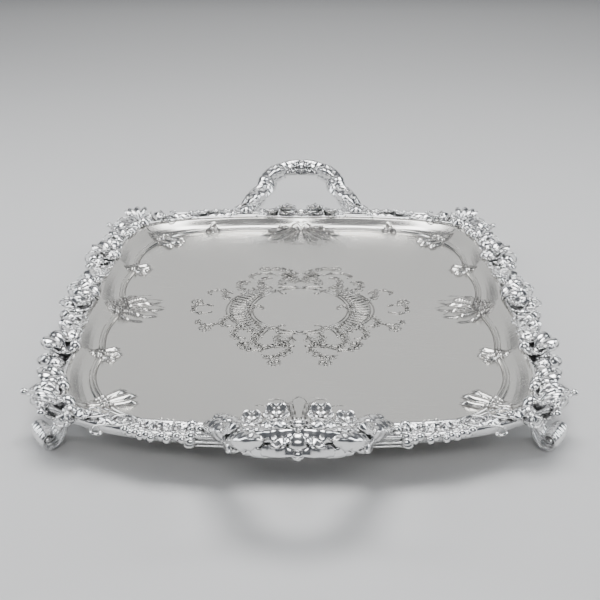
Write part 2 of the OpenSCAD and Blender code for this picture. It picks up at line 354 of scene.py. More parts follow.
@dataclass
class Scroll:
    """A cast bar that follows a line and swells in its middle."""

    line: Array
    thick: float
    low: float = 0.0
    high: float = 0.0
    ends: float = 0.35
    eyes: tuple[bool, bool] = (True, True)

    def spine(self) -> Array:
        """The line in three columns, arched from its low ends to its high middle."""
        if self.line.shape[1] == 3:
            return self.line
        share = np.linspace(0, 1, len(self.line))
        lift = self.low + (self.high - self.low) * np.sin(np.pi * share)
        return np.column_stack([self.line, lift])

    def radii(self) -> Array:
        """The bar's radius at each point."""
        share = np.linspace(0, 1, len(self.line))
        return self.thick * (self.ends + (1 - self.ends) * np.sin(np.pi * share) ** 0.7)


def c_scroll(middle: tuple[float, float], heading: float, size: float, thick: float, hand: int = 1,
             low: float = 2, high: float = 6, roll: float = 300) -> Scroll:
    """A C-scroll whose two ends roll up on the same side.

    Args:
        middle: the middle of its back.
        heading: the way its back runs there, in degrees.
        size: radius of the back.
        thick: radius of the bar.
        hand: 1 to roll to the left, -1 to the right.
        low: height of its ends.
        high: height of its middle.
        roll: how far each end rolls up, in degrees.

    Returns:
        The scroll.
    """
    ahead = [(55 * hand, size, size * 0.9), (roll * hand, size * 0.42, size * 0.13)]
    front = wander(middle, heading, ahead)
    back = wander(middle, heading + 180, [(-turn, a, b) for turn, a, b in ahead])
    return Scroll(np.concatenate([back[:0:-1], front]), thick, low, high)


def s_scroll(middle: tuple[float, float], heading: float, size: float, thick: float, hand: int = 1,
             low: float = 2, high: float = 6, roll: float = 300) -> Scroll:
    """An S-scroll whose two ends roll up on opposite sides; its arguments are a C-scroll's."""
    ahead = [(50 * hand, size * 1.1, size * 0.9), (roll * hand, size * 0.42, size * 0.13)]
    front = wander(middle, heading, ahead)
    back = wander(middle, heading + 180, ahead)
    return Scroll(np.concatenate([back[:0:-1], front]), thick, low, high)


def hook(start: tuple[float, float], heading: float, spans: Spans, thick: float,
         low: float = 3, high: float = 7) -> Scroll:
    """A scroll that swells from a thin start to a rolled end."""
    return Scroll(wander(start, heading, spans), thick, low, high, ends=0.5)


def standing_curl(size: float, thick: float) -> Scroll:
    """A tip that leans outwards and curls over; laid with a roll of 62 to 70 degrees."""
    return Scroll(wander((-0.2 * size, 0), 62,
                         [(-24, size, size * 0.9), (-300, size * 0.36, size * 0.14)]), thick,
                  0, 0, ends=0.6)


# ---- node trees --------------------------------------------------------------------------------------------


class NodeTree:
    """A geometry node tree under construction, with named inputs."""

    def __init__(self, name: str) -> None:
        """Start the tree with its geometry sockets."""
        self.tree = bpy.data.node_groups.new(name, "GeometryNodeTree")
        face = self.tree.interface
        face.new_socket("Geometry", in_out="INPUT", socket_type="NodeSocketGeometry")
        face.new_socket("Geometry", in_out="OUTPUT", socket_type="NodeSocketGeometry")
        self.entry = self.tree.nodes.new("NodeGroupInput")

    def number(self, name: str, value: float, kind: str = "NodeSocketFloat") -> None:
        """Add a named input with its usual value."""
        self.tree.interface.new_socket(name, in_out="INPUT", socket_type=kind).default_value = value

    def node(self, kind: str, **settings) -> bpy.types.Node:
        """Add a node and set its properties."""
        made = self.tree.nodes.new(kind)
        for key, value in settings.items():
            setattr(made, key, value)
        return made

    def link(self, source, target) -> None:
        """Join an output to an input."""
        self.tree.links.new(source, target)

    def close(self, last) -> None:
        """Finish with Realize Instances and Set Material, whose material is the last named input."""
        self.tree.interface.new_socket("Metal", in_out="INPUT", socket_type="NodeSocketMaterial")
        realize = self.node("GeometryNodeRealizeInstances")
        dress = self.node("GeometryNodeSetMaterial")
        leave = self.node("NodeGroupOutput")
        self.link(last, realize.inputs[0])
        self.link(realize.outputs[0], dress.inputs["Geometry"])
        self.link(self.entry.outputs["Metal"], dress.inputs["Material"])
        self.link(dress.outputs[0], leave.inputs[0])

    def identifier(self, name: str) -> str:
        """The identifier of a named input."""
        items = self.tree.interface.items_tree
        return next(i.identifier for i in items if i.name == name and i.in_out == "INPUT")

    def evaluate(self, carrier: bpy.types.Object, values: dict[str, object]) -> Shape:
        """Run the tree on an object and take the result away as a plain shape in millimetres.

        Args:
            carrier: the curve or mesh it starts from, in millimetres; it is removed afterwards.
            values: its named inputs.

        Returns:
            The shape that it makes.
        """
        bpy.context.scene.collection.objects.link(carrier)
        modifier = carrier.modifiers.new("tree", "NODES")
        modifier.node_group = self.tree
        for name, value in values.items():
            modifier[self.identifier(name)] = value
        graph = bpy.context.evaluated_depsgraph_get()
        mesh = bpy.data.meshes.new_from_object(carrier.evaluated_get(graph))
        points = np.zeros(len(mesh.vertices) * 3, np.float32)
        mesh.vertices.foreach_get("co", points)
        made = Shape().add(points.reshape(-1, 3), [tuple(p.vertices) for p in mesh.polygons])
        carrier.modifiers.remove(modifier)
        data = carrier.data
        bpy.data.objects.remove(carrier)
        (bpy.data.curves if isinstance(data, bpy.types.Curve) else bpy.data.meshes).remove(data)
        bpy.data.meshes.remove(mesh)
        return made


def line_carrier(lines: list[Array], radii: list[Array]) -> bpy.types.Object:
    """A curve object with one open line for each table of points, carrying the radius of each point."""
    curve = bpy.data.curves.new("lines", "CURVE")
    curve.dimensions = "3D"
    for line, radius in zip(lines, radii):
        spline = curve.splines.new("POLY")
        spline.points.add(len(line) - 1)
        spline.points.foreach_set("co", np.column_stack([line, np.ones(len(line))]).ravel())
        spline.points.foreach_set("radius", np.asarray(radius, np.float32))
    return bpy.data.objects.new("lines", curve)


class ScrollTree(NodeTree):
    """Sweeps a reeded bar along every line it is given."""

    def __init__(self) -> None:
        """Build the tree: a circle pushed in between its reeds, swept along the lines."""
        super().__init__("reeded_bar")
        self.number("Reeds", 5.0)
        self.number("Groove", 0.16)
        self.number("Sides", 20, "NodeSocketInt")
        circle = self.node("GeometryNodeCurvePrimitiveCircle", mode="RADIUS")
        circle.inputs["Radius"].default_value = 1.0
        self.link(self.entry.outputs["Sides"], circle.inputs["Resolution"])
        place = self.node("GeometryNodeInputPosition")
        split = self.node("ShaderNodeSeparateXYZ")
        angle = self.node("ShaderNodeMath", operation="ARCTAN2")
        turns = self.node("ShaderNodeMath", operation="MULTIPLY")
        wave = self.node("ShaderNodeMath", operation="COSINE")
        depth = self.node("ShaderNodeMath", operation="MULTIPLY")
        factor = self.node("ShaderNodeMath", operation="ADD")
        factor.inputs[1].default_value = 1.0
        scaled = self.node("ShaderNodeVectorMath", operation="SCALE")
        move = self.node("GeometryNodeSetPosition")
        sweep = self.node("GeometryNodeCurveToMesh")
        sweep.inputs["Fill Caps"].default_value = True
        self.link(place.outputs[0], split.inputs[0])
        self.link(split.outputs["Y"], angle.inputs[0])
        self.link(split.outputs["X"], angle.inputs[1])
        self.link(angle.outputs[0], turns.inputs[0])
        self.link(self.entry.outputs["Reeds"], turns.inputs[1])
        self.link(turns.outputs[0], wave.inputs[0])
        self.link(wave.outputs[0], depth.inputs[0])
        self.link(self.entry.outputs["Groove"], depth.inputs[1])
        self.link(depth.outputs[0], factor.inputs[0])
        self.link(place.outputs[0], scaled.inputs[0])
        self.link(factor.outputs[0], scaled.inputs["Scale"])
        self.link(circle.outputs["Curve"], move.inputs["Geometry"])
        self.link(scaled.outputs[0], move.inputs["Position"])
        self.link(self.entry.outputs["Geometry"], sweep.inputs["Curve"])
        self.link(move.outputs[0], sweep.inputs["Profile Curve"])
        self.close(sweep.outputs[0])

    def cast(self, scrolls: list[Scroll], metal: bpy.types.Material, reeds: float = 5,
             groove: float = 0.16, sides: int = 20) -> Shape:
        """Sweep the bars and close their rolled ends with round eyes.

        Args:
            scrolls: the bars.
            metal: the material the tree sets.
            reeds: reeds round each bar.
            groove: depth of the grooves as a share of the radius.
            sides: points round each bar.

        Returns:
            One shape for all the bars.
        """
        if not scrolls:
            return Shape()
        spines, radii = [s.spine() for s in scrolls], [s.radii() for s in scrolls]
        made = self.evaluate(line_carrier(spines, radii),
                             {"Reeds": float(reeds), "Groove": groove, "Sides": sides, "Metal": metal})
        for scroll, spine, radius in zip(scrolls, spines, radii):
            for wanted, end in zip(scroll.eyes, (0, -1)):
                if wanted:
                    size = max(radius[end] * 1.9, scroll.thick * 0.62)
                    ball = dome(size, size, size * 1.1)
                    made.join(turned(ball, at=tuple(spine[end] - (0, 0, size * 0.15))))
        return made


class BerryTree(NodeTree):
    """Sets a small round berry on every point of a mesh, each a little different in size."""

    def __init__(self) -> None:
        """Build the tree: a low sphere instanced on the points, with a fixed seed."""
        super().__init__("berries")
        self.number("Radius", 2.2)
        self.number("Spread", 0.2)
        self.number("Seed", 7, "NodeSocketInt")
        ball = self.node("GeometryNodeMeshUVSphere")
        ball.inputs["Segments"].default_value = 10
        ball.inputs["Rings"].default_value = 6
        low = self.node("ShaderNodeMath", operation="SUBTRACT")
        high = self.node("ShaderNodeMath", operation="ADD")
        low.inputs[0].default_value = high.inputs[0].default_value = 1.0
        dice = self.node("FunctionNodeRandomValue", data_type="FLOAT")
        spots = self.node("GeometryNodeInstanceOnPoints")
        self.link(self.entry.outputs["Radius"], ball.inputs["Radius"])
        self.link(self.entry.outputs["Spread"], low.inputs[1])
        self.link(self.entry.outputs["Spread"], high.inputs[1])
        self.link(low.outputs[0], dice.inputs[2])
        self.link(high.outputs[0], dice.inputs[3])
        self.link(self.entry.outputs["Seed"], dice.inputs["Seed"])
        self.link(self.entry.outputs["Geometry"], spots.inputs["Points"])
        self.link(ball.outputs["Mesh"], spots.inputs["Instance"])
        self.link(dice.outputs[1], spots.inputs["Scale"])
        self.close(spots.outputs[0])

    def cast(self, spots: list[tuple[float, float, float]], radius: float,
             metal: bpy.types.Material) -> Shape:
        """Berries of about one radius on a list of places."""
        if not spots:
            return Shape()
        mesh = bpy.data.meshes.new("spots")
        mesh.from_pydata([tuple(p) for p in spots], [], [])
        return self.evaluate(bpy.data.objects.new("spots", mesh), {"Radius": radius, "Metal": metal})


# ---- materials ---------------------------------------------------------------------------------------------


class ShaderGroup:
    """A shader node group that several metals share, with named inputs and outputs."""

    def __init__(self, name: str, inputs: dict[str, float], outputs: dict[str, str]) -> None:
        """Make the group.

        Args:
            name: the group's name.
            inputs: named numbers and their usual values.
            outputs: named outputs and their socket types.
        """
        self.tree = bpy.data.node_groups.new(name, "ShaderNodeTree")
        for key, value in inputs.items():
            socket = self.tree.interface.new_socket(key, in_out="INPUT", socket_type="NodeSocketFloat")
            socket.default_value = value
        for key, kind in outputs.items():
            self.tree.interface.new_socket(key, in_out="OUTPUT", socket_type=kind)
        self.entry = self.tree.nodes.new("NodeGroupInput")
        self.leave = self.tree.nodes.new("NodeGroupOutput")

    def node(self, kind: str, **settings) -> bpy.types.Node:
        """Add a node and set its properties."""
        made = self.tree.nodes.new(kind)
        for key, value in settings.items():
            setattr(made, key, value)
        return made

    def link(self, source, target) -> None:
        """Join an output to an input."""
        self.tree.links.new(source, target)


def painted_shade_and_tarnish_group() -> ShaderGroup:
    """Painted shade with patina in the hollows: a darkening mask from the stored depth, broken up by fine
    noise.
    """
    group = ShaderGroup("tarnish", {"Strength": 1.0, "Reach": 0.5}, {"Mask": "NodeSocketFloat"})
    depth = group.node("ShaderNodeAttribute", attribute_name="hollow")
    where = group.node("ShaderNodeTexCoord")
    noise = group.node("ShaderNodeTexNoise")
    noise.inputs["Scale"].default_value = 90.0
    noise.inputs["Detail"].default_value = 4.0
    soft = group.node("ShaderNodeMath", operation="MULTIPLY_ADD")
    soft.inputs[1].default_value = 0.35
    spread = group.node("ShaderNodeMapRange", interpolation_type="SMOOTHSTEP")
    spread.inputs["From Max"].default_value = 1.0
    strong = group.node("ShaderNodeMath", operation="MULTIPLY", use_clamp=True)
    group.link(where.outputs["Object"], noise.inputs["Vector"])
    group.link(noise.outputs["Fac"], soft.inputs[0])
    group.link(depth.outputs["Fac"], soft.inputs[2])
    group.link(soft.outputs[0], spread.inputs["Value"])
    group.link(group.entry.outputs["Reach"], spread.inputs["From Min"])
    group.link(spread.outputs["Result"], strong.inputs[0])
    group.link(group.entry.outputs["Strength"], strong.inputs[1])
    group.link(strong.outputs[0], group.leave.inputs["Mask"])
    return group


def wear_group() -> ShaderGroup:
    """Fine scratches along x and cloudy handling marks: a mask, and a height for bump."""
    group = ShaderGroup("handling_wear", {"Scratches": 1.0, "Clouds": 1.0},
                        {"Marks": "NodeSocketFloat", "Height": "NodeSocketFloat"})
    where = group.node("ShaderNodeTexCoord")
    stretch = group.node("ShaderNodeMapping")
    stretch.inputs["Scale"].default_value = (14.0, 900.0, 60.0)
    stretch.inputs["Rotation"].default_value = (0, 0, 0.06)
    lines = group.node("ShaderNodeTexNoise")
    lines.inputs["Scale"].default_value = 1.0
    lines.inputs["Detail"].default_value = 3.0
    lines.inputs["Roughness"].default_value = 0.65
    clouds = group.node("ShaderNodeTexNoise")
    clouds.inputs["Scale"].default_value = 11.0
    clouds.inputs["Detail"].default_value = 5.0
    a = group.node("ShaderNodeMath", operation="MULTIPLY")
    b = group.node("ShaderNodeMath", operation="MULTIPLY")
    both = group.node("ShaderNodeMath", operation="ADD")
    group.link(where.outputs["Object"], stretch.inputs["Vector"])
    group.link(stretch.outputs[0], lines.inputs["Vector"])
    group.link(where.outputs["Object"], clouds.inputs["Vector"])
    group.link(lines.outputs["Fac"], a.inputs[0])
    group.link(group.entry.outputs["Scratches"], a.inputs[1])
    group.link(clouds.outputs["Fac"], b.inputs[0])
    group.link(group.entry.outputs["Clouds"], b.inputs[1])
    group.link(a.outputs[0], both.inputs[0])
    group.link(b.outputs[0], both.inputs[1])
    group.link(both.outputs[0], group.leave.inputs["Marks"])
    group.link(a.outputs[0], group.leave.inputs["Height"])
    return group


@dataclass(frozen=True)
class SilverFinish:
    """How one part of the silver is finished."""

    name: str
    bright: tuple[float, float, float]
    # The dark colour is mixed in by the hollow mask: painted shade, with patina, in the hollows.
    dark: tuple[float, float, float] = (0.045, 0.040, 0.038)
    rough_low: float = 0.08
    rough_high: float = 0.24
    tarnish: float = 0.9
    reach: float = 0.45
    scratches: float = 0.6
    clouds: float = 0.6
    bump: float = 0.05

    def material(self, tarnish: ShaderGroup, wear: ShaderGroup) -> bpy.types.Material:
        """Build the material.

        Args:
            tarnish: the shared group that paints shade, with patina, into the hollows.
            wear: the shared scratches and clouds group.

        Returns:
            The finished material.
        """
        made = bpy.data.materials.new(self.name)
        made.use_nodes = True
        nodes, links = made.node_tree.nodes, made.node_tree.links
        shader = nodes["Principled BSDF"]
        shader.inputs["Metallic"].default_value = 1.0
        painted_shade_and_patina_node = nodes.new("ShaderNodeGroup")
        painted_shade_and_patina_node.node_tree = tarnish.tree
        painted_shade_and_patina_node.inputs["Strength"].default_value = self.tarnish
        painted_shade_and_patina_node.inputs["Reach"].default_value = self.reach
        marks = nodes.new("ShaderNodeGroup")
        marks.node_tree = wear.tree
        marks.inputs["Scratches"].default_value = self.scratches
        marks.inputs["Clouds"].default_value = self.clouds
        tone = nodes.new("ShaderNodeMapRange")
        tone.inputs["From Max"].default_value = self.scratches + self.clouds
        tone.inputs["To Min"].default_value = 0.86
        tone.inputs["To Max"].default_value = 1.06
        shade = nodes.new("ShaderNodeMix")
        shade.data_type, shade.blend_type = "RGBA", "MULTIPLY"
        shade.inputs["Factor"].default_value = 1.0
        shade.inputs["A"].default_value = (*self.bright, 1)
        colour = nodes.new("ShaderNodeMix")
        colour.data_type = "RGBA"
        colour.inputs["B"].default_value = (*self.dark, 1)
        rough = nodes.new("ShaderNodeMapRange")
        rough.inputs["From Max"].default_value = self.scratches + self.clouds
        rough.inputs["To Min"].default_value = self.rough_low
        rough.inputs["To Max"].default_value = self.rough_high
        duller = nodes.new("ShaderNodeMath")
        duller.operation, duller.use_clamp = "MULTIPLY_ADD", True
        duller.inputs[1].default_value = 0.45
        bump = nodes.new("ShaderNodeBump")
        bump.inputs["Strength"].default_value = self.bump
        bump.inputs["Distance"].default_value = 0.0004
        links.new(marks.outputs["Marks"], tone.inputs["Value"])
        links.new(tone.outputs["Result"], shade.inputs["B"])
        links.new(shade.outputs["Result"], colour.inputs["A"])
        # Painted shade: the hollow mask mixes the dark colour into the base colour, together with patina.
        links.new(painted_shade_and_patina_node.outputs["Mask"], colour.inputs["Factor"])
        links.new(colour.outputs["Result"], shader.inputs["Base Color"])
        links.new(marks.outputs["Marks"], rough.inputs["Value"])
        links.new(painted_shade_and_patina_node.outputs["Mask"], duller.inputs[0])
        links.new(rough.outputs["Result"], duller.inputs[2])
        links.new(duller.outputs[0], shader.inputs["Roughness"])
        links.new(marks.outputs["Height"], bump.inputs["Height"])
        links.new(bump.outputs["Normal"], shader.inputs["Normal"])
        return made


CAST = SilverFinish("cast_silver", (0.94, 0.94, 0.94), rough_low=0.13, rough_high=0.30, tarnish=0.80,
                    reach=0.60,
                    bump=0.02)
GROUND = SilverFinish("satin_ground", (0.70, 0.69, 0.665), rough_low=0.16, rough_high=0.34, tarnish=0.8,
                      scratches=1.0, clouds=0.8, bump=0.10)
ENGRAVED = SilverFinish("engraved_line", (0.46, 0.45, 0.43), rough_low=0.18, rough_high=0.34, tarnish=1.0,
                        reach=0.3)


# ---- meshes ------------------------------------------------------------------------------------------------


def hollow_share(shape: Shape, reach: float = 9.0, rays: int = 14) -> Array:
    """How deep in a hollow each point lies, from 0 on open ground to 1 in a crevice.

    Args:
        shape: the bodies, in millimetres.
        reach: how far away metal still counts, in millimetres.
        rays: directions tried at each point.

    Returns:
        One number for each point.
    """
    # The share is ray-cast occlusion; the metals paint it into their colour as shade, with patina.
    points = shape.all_points()
    tree = BVHTree.FromPolygons(points.tolist(), shape.faces)
    normals = np.zeros_like(points)
    for face in shape.faces:
        a, b, c = points[face[0]], points[face[1]], points[face[2]]
        n = np.cross(b - a, c - a)
        size = math.sqrt(n @ n)
        if size > 1e-12:
            normals[list(face)] += n / size
    normals /= np.maximum(np.linalg.norm(normals, axis=1, keepdims=True), 1e-9)
    golden = math.pi * (3 - math.sqrt(5))
    up = [((k + 0.5) / rays) ** 0.5 for k in range(rays)]
    fan = [(math.sqrt(1 - z * z) * math.cos(golden * k), math.sqrt(1 - z * z) * math.sin(golden * k), z)
           for k, z in enumerate(up)]
    deep = np.zeros(len(points))
    for i, (p, n) in enumerate(zip(points.tolist(), normals)):
        nx, ny, nz = n
        side = np.cross(n, (0, 0, 1) if abs(nz) < 0.9 else (1, 0, 0))
        side /= max(math.sqrt(side @ side), 1e-9)
        other = np.cross(n, side)
        origin = (p[0] + nx * 0.06, p[1] + ny * 0.06, p[2] + nz * 0.06)
        hits = 0.0
        for a, b, c in fan:
            way = side * a + other * b + n * c
            found = tree.ray_cast(origin, way, reach)
            if found[3] is not None:
                hits += 1 - 0.6 * found[3] / reach
        deep[i] = hits / rays
    return np.clip(deep * 1.35, 0, 1)


def make_piece(name: str, parts: list[tuple[Shape, bpy.types.Material, Array]], node: str) -> bpy.types.Object:
    """Turn shapes into a finished piece that stands for a CAD node.

    Args:
        name: the piece's name.
        parts: each shape in millimetres, its material, and the hollow share of each of its points.
        node: the CAD node that it replaces.

    Returns:
        The piece.
    """
    whole, owners = Shape(), []
    mesh = bpy.data.meshes.new(name)
    for i, (shape, metal, _) in enumerate(parts):
        whole.join(shape)
        owners += [i] * len(shape.faces)
        mesh.materials.append(metal)
    mesh.from_pydata((whole.all_points() * MM).tolist(), [], whole.faces)
    mesh.polygons.foreach_set("use_smooth", np.ones(len(mesh.polygons), bool))
    mesh.polygons.foreach_set("material_index", np.array(owners, np.int32))
    hollow = np.concatenate([share for _, _, share in parts]).astype(np.float32)
    mesh.attributes.new("hollow", "FLOAT", "POINT").data.foreach_set("value", hollow)
    mesh.update()
    piece = bpy.data.objects.new(name, mesh)
    bpy.context.scene.collection.objects.link(piece)
    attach(piece, "root")
    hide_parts(node)
    LOG.info("%s: %d faces", name, len(mesh.polygons))
    return piece


# ---- the frame's sizes -------------------------------------------------------------------------------------

Line = tuple[list[tuple[float, float]], list[float]]


@dataclass
class TrayLines:
    """The tray's outlines in millimetres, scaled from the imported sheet's own box.

    A place on a line is given by k, from 0 at the middle of a side to END_MIDDLE at the middle of an end,
    with a cusp at every tenth. Lines are cusps as shares of the half width and half length, then the bulge of
    each arc.
    """

    half_x: float
    half_y: float
    ground_z: float
    seat_z: float
    ground: Line = ([(0.742, 0), (0.765, 0.38), (0.680, 0.718), (0.455, 0.830), (0, 0.825)], [9, 11, 8, 9])
    rim: Line = ([(0.872, 0), (0.868, 0.40), (0.815, 0.793), (0.462, 0.890), (0, 0.900)], [4, 5, 6, 4])
    outer: Line = ([(0.962, 0), (0.972, 0.43), (0.868, 0.828), (0.468, 0.975), (0, 0.990)], [0, 2, 6, 2])

    SHEET_SHARE_X = 0.9451
    SHEET_SHARE_Y = 0.9623

    @classmethod
    def from_frame(cls) -> "TrayLines":
        """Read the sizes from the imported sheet's box and the record's mount."""
        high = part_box("tray_plate")[1]
        ground = frame["record"]["mounts"][0]["pos_m"][2]
        return cls(high.x / MM / cls.SHEET_SHARE_X, high.y / MM / cls.SHEET_SHARE_Y, ground / MM, high.z / MM)

    def at(self, line: Line, k: float) -> Array:
        """The point of a line at place k; k may run past either end, where the line is mirrored."""
        if k < 0:
            return self.at(line, -k) * (1, -1)
        if k > 40:
            return self.at(line, 80 - k) * (-1, 1)
        i = min(int(k // 10), 3)
        t = k / 10 - i
        a = np.array(line[0][i]) * (self.half_x, self.half_y)
        b = np.array(line[0][i + 1]) * (self.half_x, self.half_y)
        way = (b - a) / np.linalg.norm(b - a)
        return a * (1 - t) + b * t + np.array([way[1], -way[0]]) * line[1][i] * math.sin(math.pi * t)

    def spot(self, k: float, u: float) -> Array:
        """The point at share u of the way from the rim to the outer line."""
        return self.at(self.rim, k) * (1 - u) + self.at(self.outer, k) * u

    def heading(self, k: float) -> float:
        """The outward direction at place k, in degrees."""
        ahead = self.spot(k + 1.5, 0.5) - self.spot(k - 1.5, 0.5)
        return math.degrees(math.atan2(-ahead[0], ahead[1]))

    def put(self, shape: Shape, k: float, u: float, up: float, yaw: float = 0, pitch: float = 0,
            roll: float = 0, size: float = 1) -> Shape:
        """Set an ornament on the border with its +x outwards.

        Args:
            shape: the ornament.
            k: its place along the border.
            u: its share of the way from the rim to the outer line.
            up: its height above the ledge.
            yaw: turns it from outwards, in degrees.
            pitch: lifts its outer end, in degrees.
            roll: about its own x, in degrees.
            size: its scale.

        Returns:
            The ornament in its place in the first quarter.
        """
        x, y = self.spot(k, u)
        return turned(shape, self.heading(k) + yaw, pitch, roll, (x, y, self.seat_z + up), size)

    def lay(self, scroll: Scroll, k: float, u: float, up: float = 0, yaw: float = 0,
            roll: float = 0) -> Scroll:
        """Set a scroll's line on the border with its +x outwards, rolled about +x to stand it up."""
        x, y = self.spot(k, u)
        line = turned(Shape().add(scroll.spine(), []), self.heading(k) + yaw, roll=roll,
                      at=(x, y, self.seat_z + up)).all_points()
        return Scroll(line, scroll.thick, ends=scroll.ends, eyes=scroll.eyes)


# ---- the workshop: what every casting is made with ---------------------------------------------------------


@dataclass
class Workshop:
    """The outlines, node trees and metals that all the sub-assemblies share."""

    lines: TrayLines
    bars: ScrollTree
    berries: BerryTree
    cast: bpy.types.Material
    ground: bpy.types.Material
    engraved: bpy.types.Material

    @classmethod
    def open(cls) -> "Workshop":
        """Build the shared trees and metals."""
        tarnish, wear = painted_shade_and_tarnish_group(), wear_group()
        metals = [finish.material(tarnish, wear) for finish in (CAST, GROUND, ENGRAVED)]
        return cls(TrayLines.from_frame(), ScrollTree(), BerryTree(), *metals)

    def finish(self, name: str, shape: Shape, quarters: list[tuple[str, Quarter]]) -> None:
        """Make the mirrored pieces of one casting, each in place of its own CAD node.

        Args:
            name: what the casting is called.
            shape: the casting in the first quarter.
            quarters: the node's ending and the quarter for each copy.
        """
        hollow = hollow_share(shape, rays=12)
        for ending, quarter in quarters:
            node = f"{name}_{ending}"
            make_piece(f"{node}_cast", [(shape.mirrored(quarter), self.cast, hollow)], node)

    def bunch(self, k: float, u: float, up: float, radius: float, count: int, spread: float) -> Shape:
        """A heap of berries round a place on the border."""
        golden = math.pi * (3 - math.sqrt(5))
        x, y = self.lines.spot(k, u)
        spots = []
        for i in range(count):
            reach = spread * math.sqrt((i + 0.3) / count)
            high = up + radius * 0.6 + (1 - (reach / (spread + 0.1)) ** 2) * radius * 1.3
            spots.append((x + reach * math.cos(golden * i), y + reach * math.sin(golden * i),
                          self.lines.seat_z + high))
        return self.berries.cast(spots, radius, self.cast)


ALL_QUARTERS = [(quarter.label, quarter) for quarter in Quarter]
SIDES = [("left", Quarter.BACK_LEFT), ("right", Quarter.BACK_RIGHT)]
ENDS = [("front", Quarter.FRONT_RIGHT), ("back", Quarter.BACK_RIGHT)]


# ---- the sheet ---------------------------------------------------------------------------------------------


@dataclass(frozen=True)
class ChasedShell:
    """One fluted shell raised in the shoulder, opening inwards from its hub."""

    hub: tuple[float, float]
    aim: float
    reach: float
    spread: float
    lobes: int
    height: float = 3.4
    narrow: float = 0.12
    flute: Flute = Flute.HOLLOW

    def relief(self, x: Array, y: Array) -> Array:
        """How far it raises the sheet at each point, in millimetres."""
        dx, dy = x - self.hub[0], y - self.hub[1]
        rho = np.hypot(dx, dy)
        theta = np.degrees(np.arctan2(dy, dx)) - self.aim
        theta = (theta + 180) % 360 - 180
        s = theta / self.spread + 0.5
        inside = np.clip(s, 0, 1)
        lobe = np.abs(np.sin(np.pi * self.lobes * inside))
        centre = 1 - self.narrow * (2 * inside - 1) ** 2
        edge = self.reach * (0.76 + 0.24 * lobe) * centre
        t = rho / edge
        t_in = np.clip(t, 0, 1)
        body = np.clip(t_in / 0.22, 0, 1) * np.clip((1.02 - t_in) / 0.10, 0, 1)
        if self.flute is Flute.HOLLOW:
            wall = np.exp(-(lobe / 0.34) ** 2)
            high = self.height * body * (0.25 + 0.75 * wall)
        else:
            high = self.height * body * lobe ** 0.7 * (0.5 + 0.5 * t_in)
        outside = np.clip((t - 1) * edge / 2.2, 0, 1)
        beside = np.clip(np.abs(s - 0.5) * 2 - 1, 0, 1) * self.spread / 360 * math.pi * rho / 2.2
        return high * (1 - outside) ** 2 * np.clip(1 - beside, 0, 1) ** 2


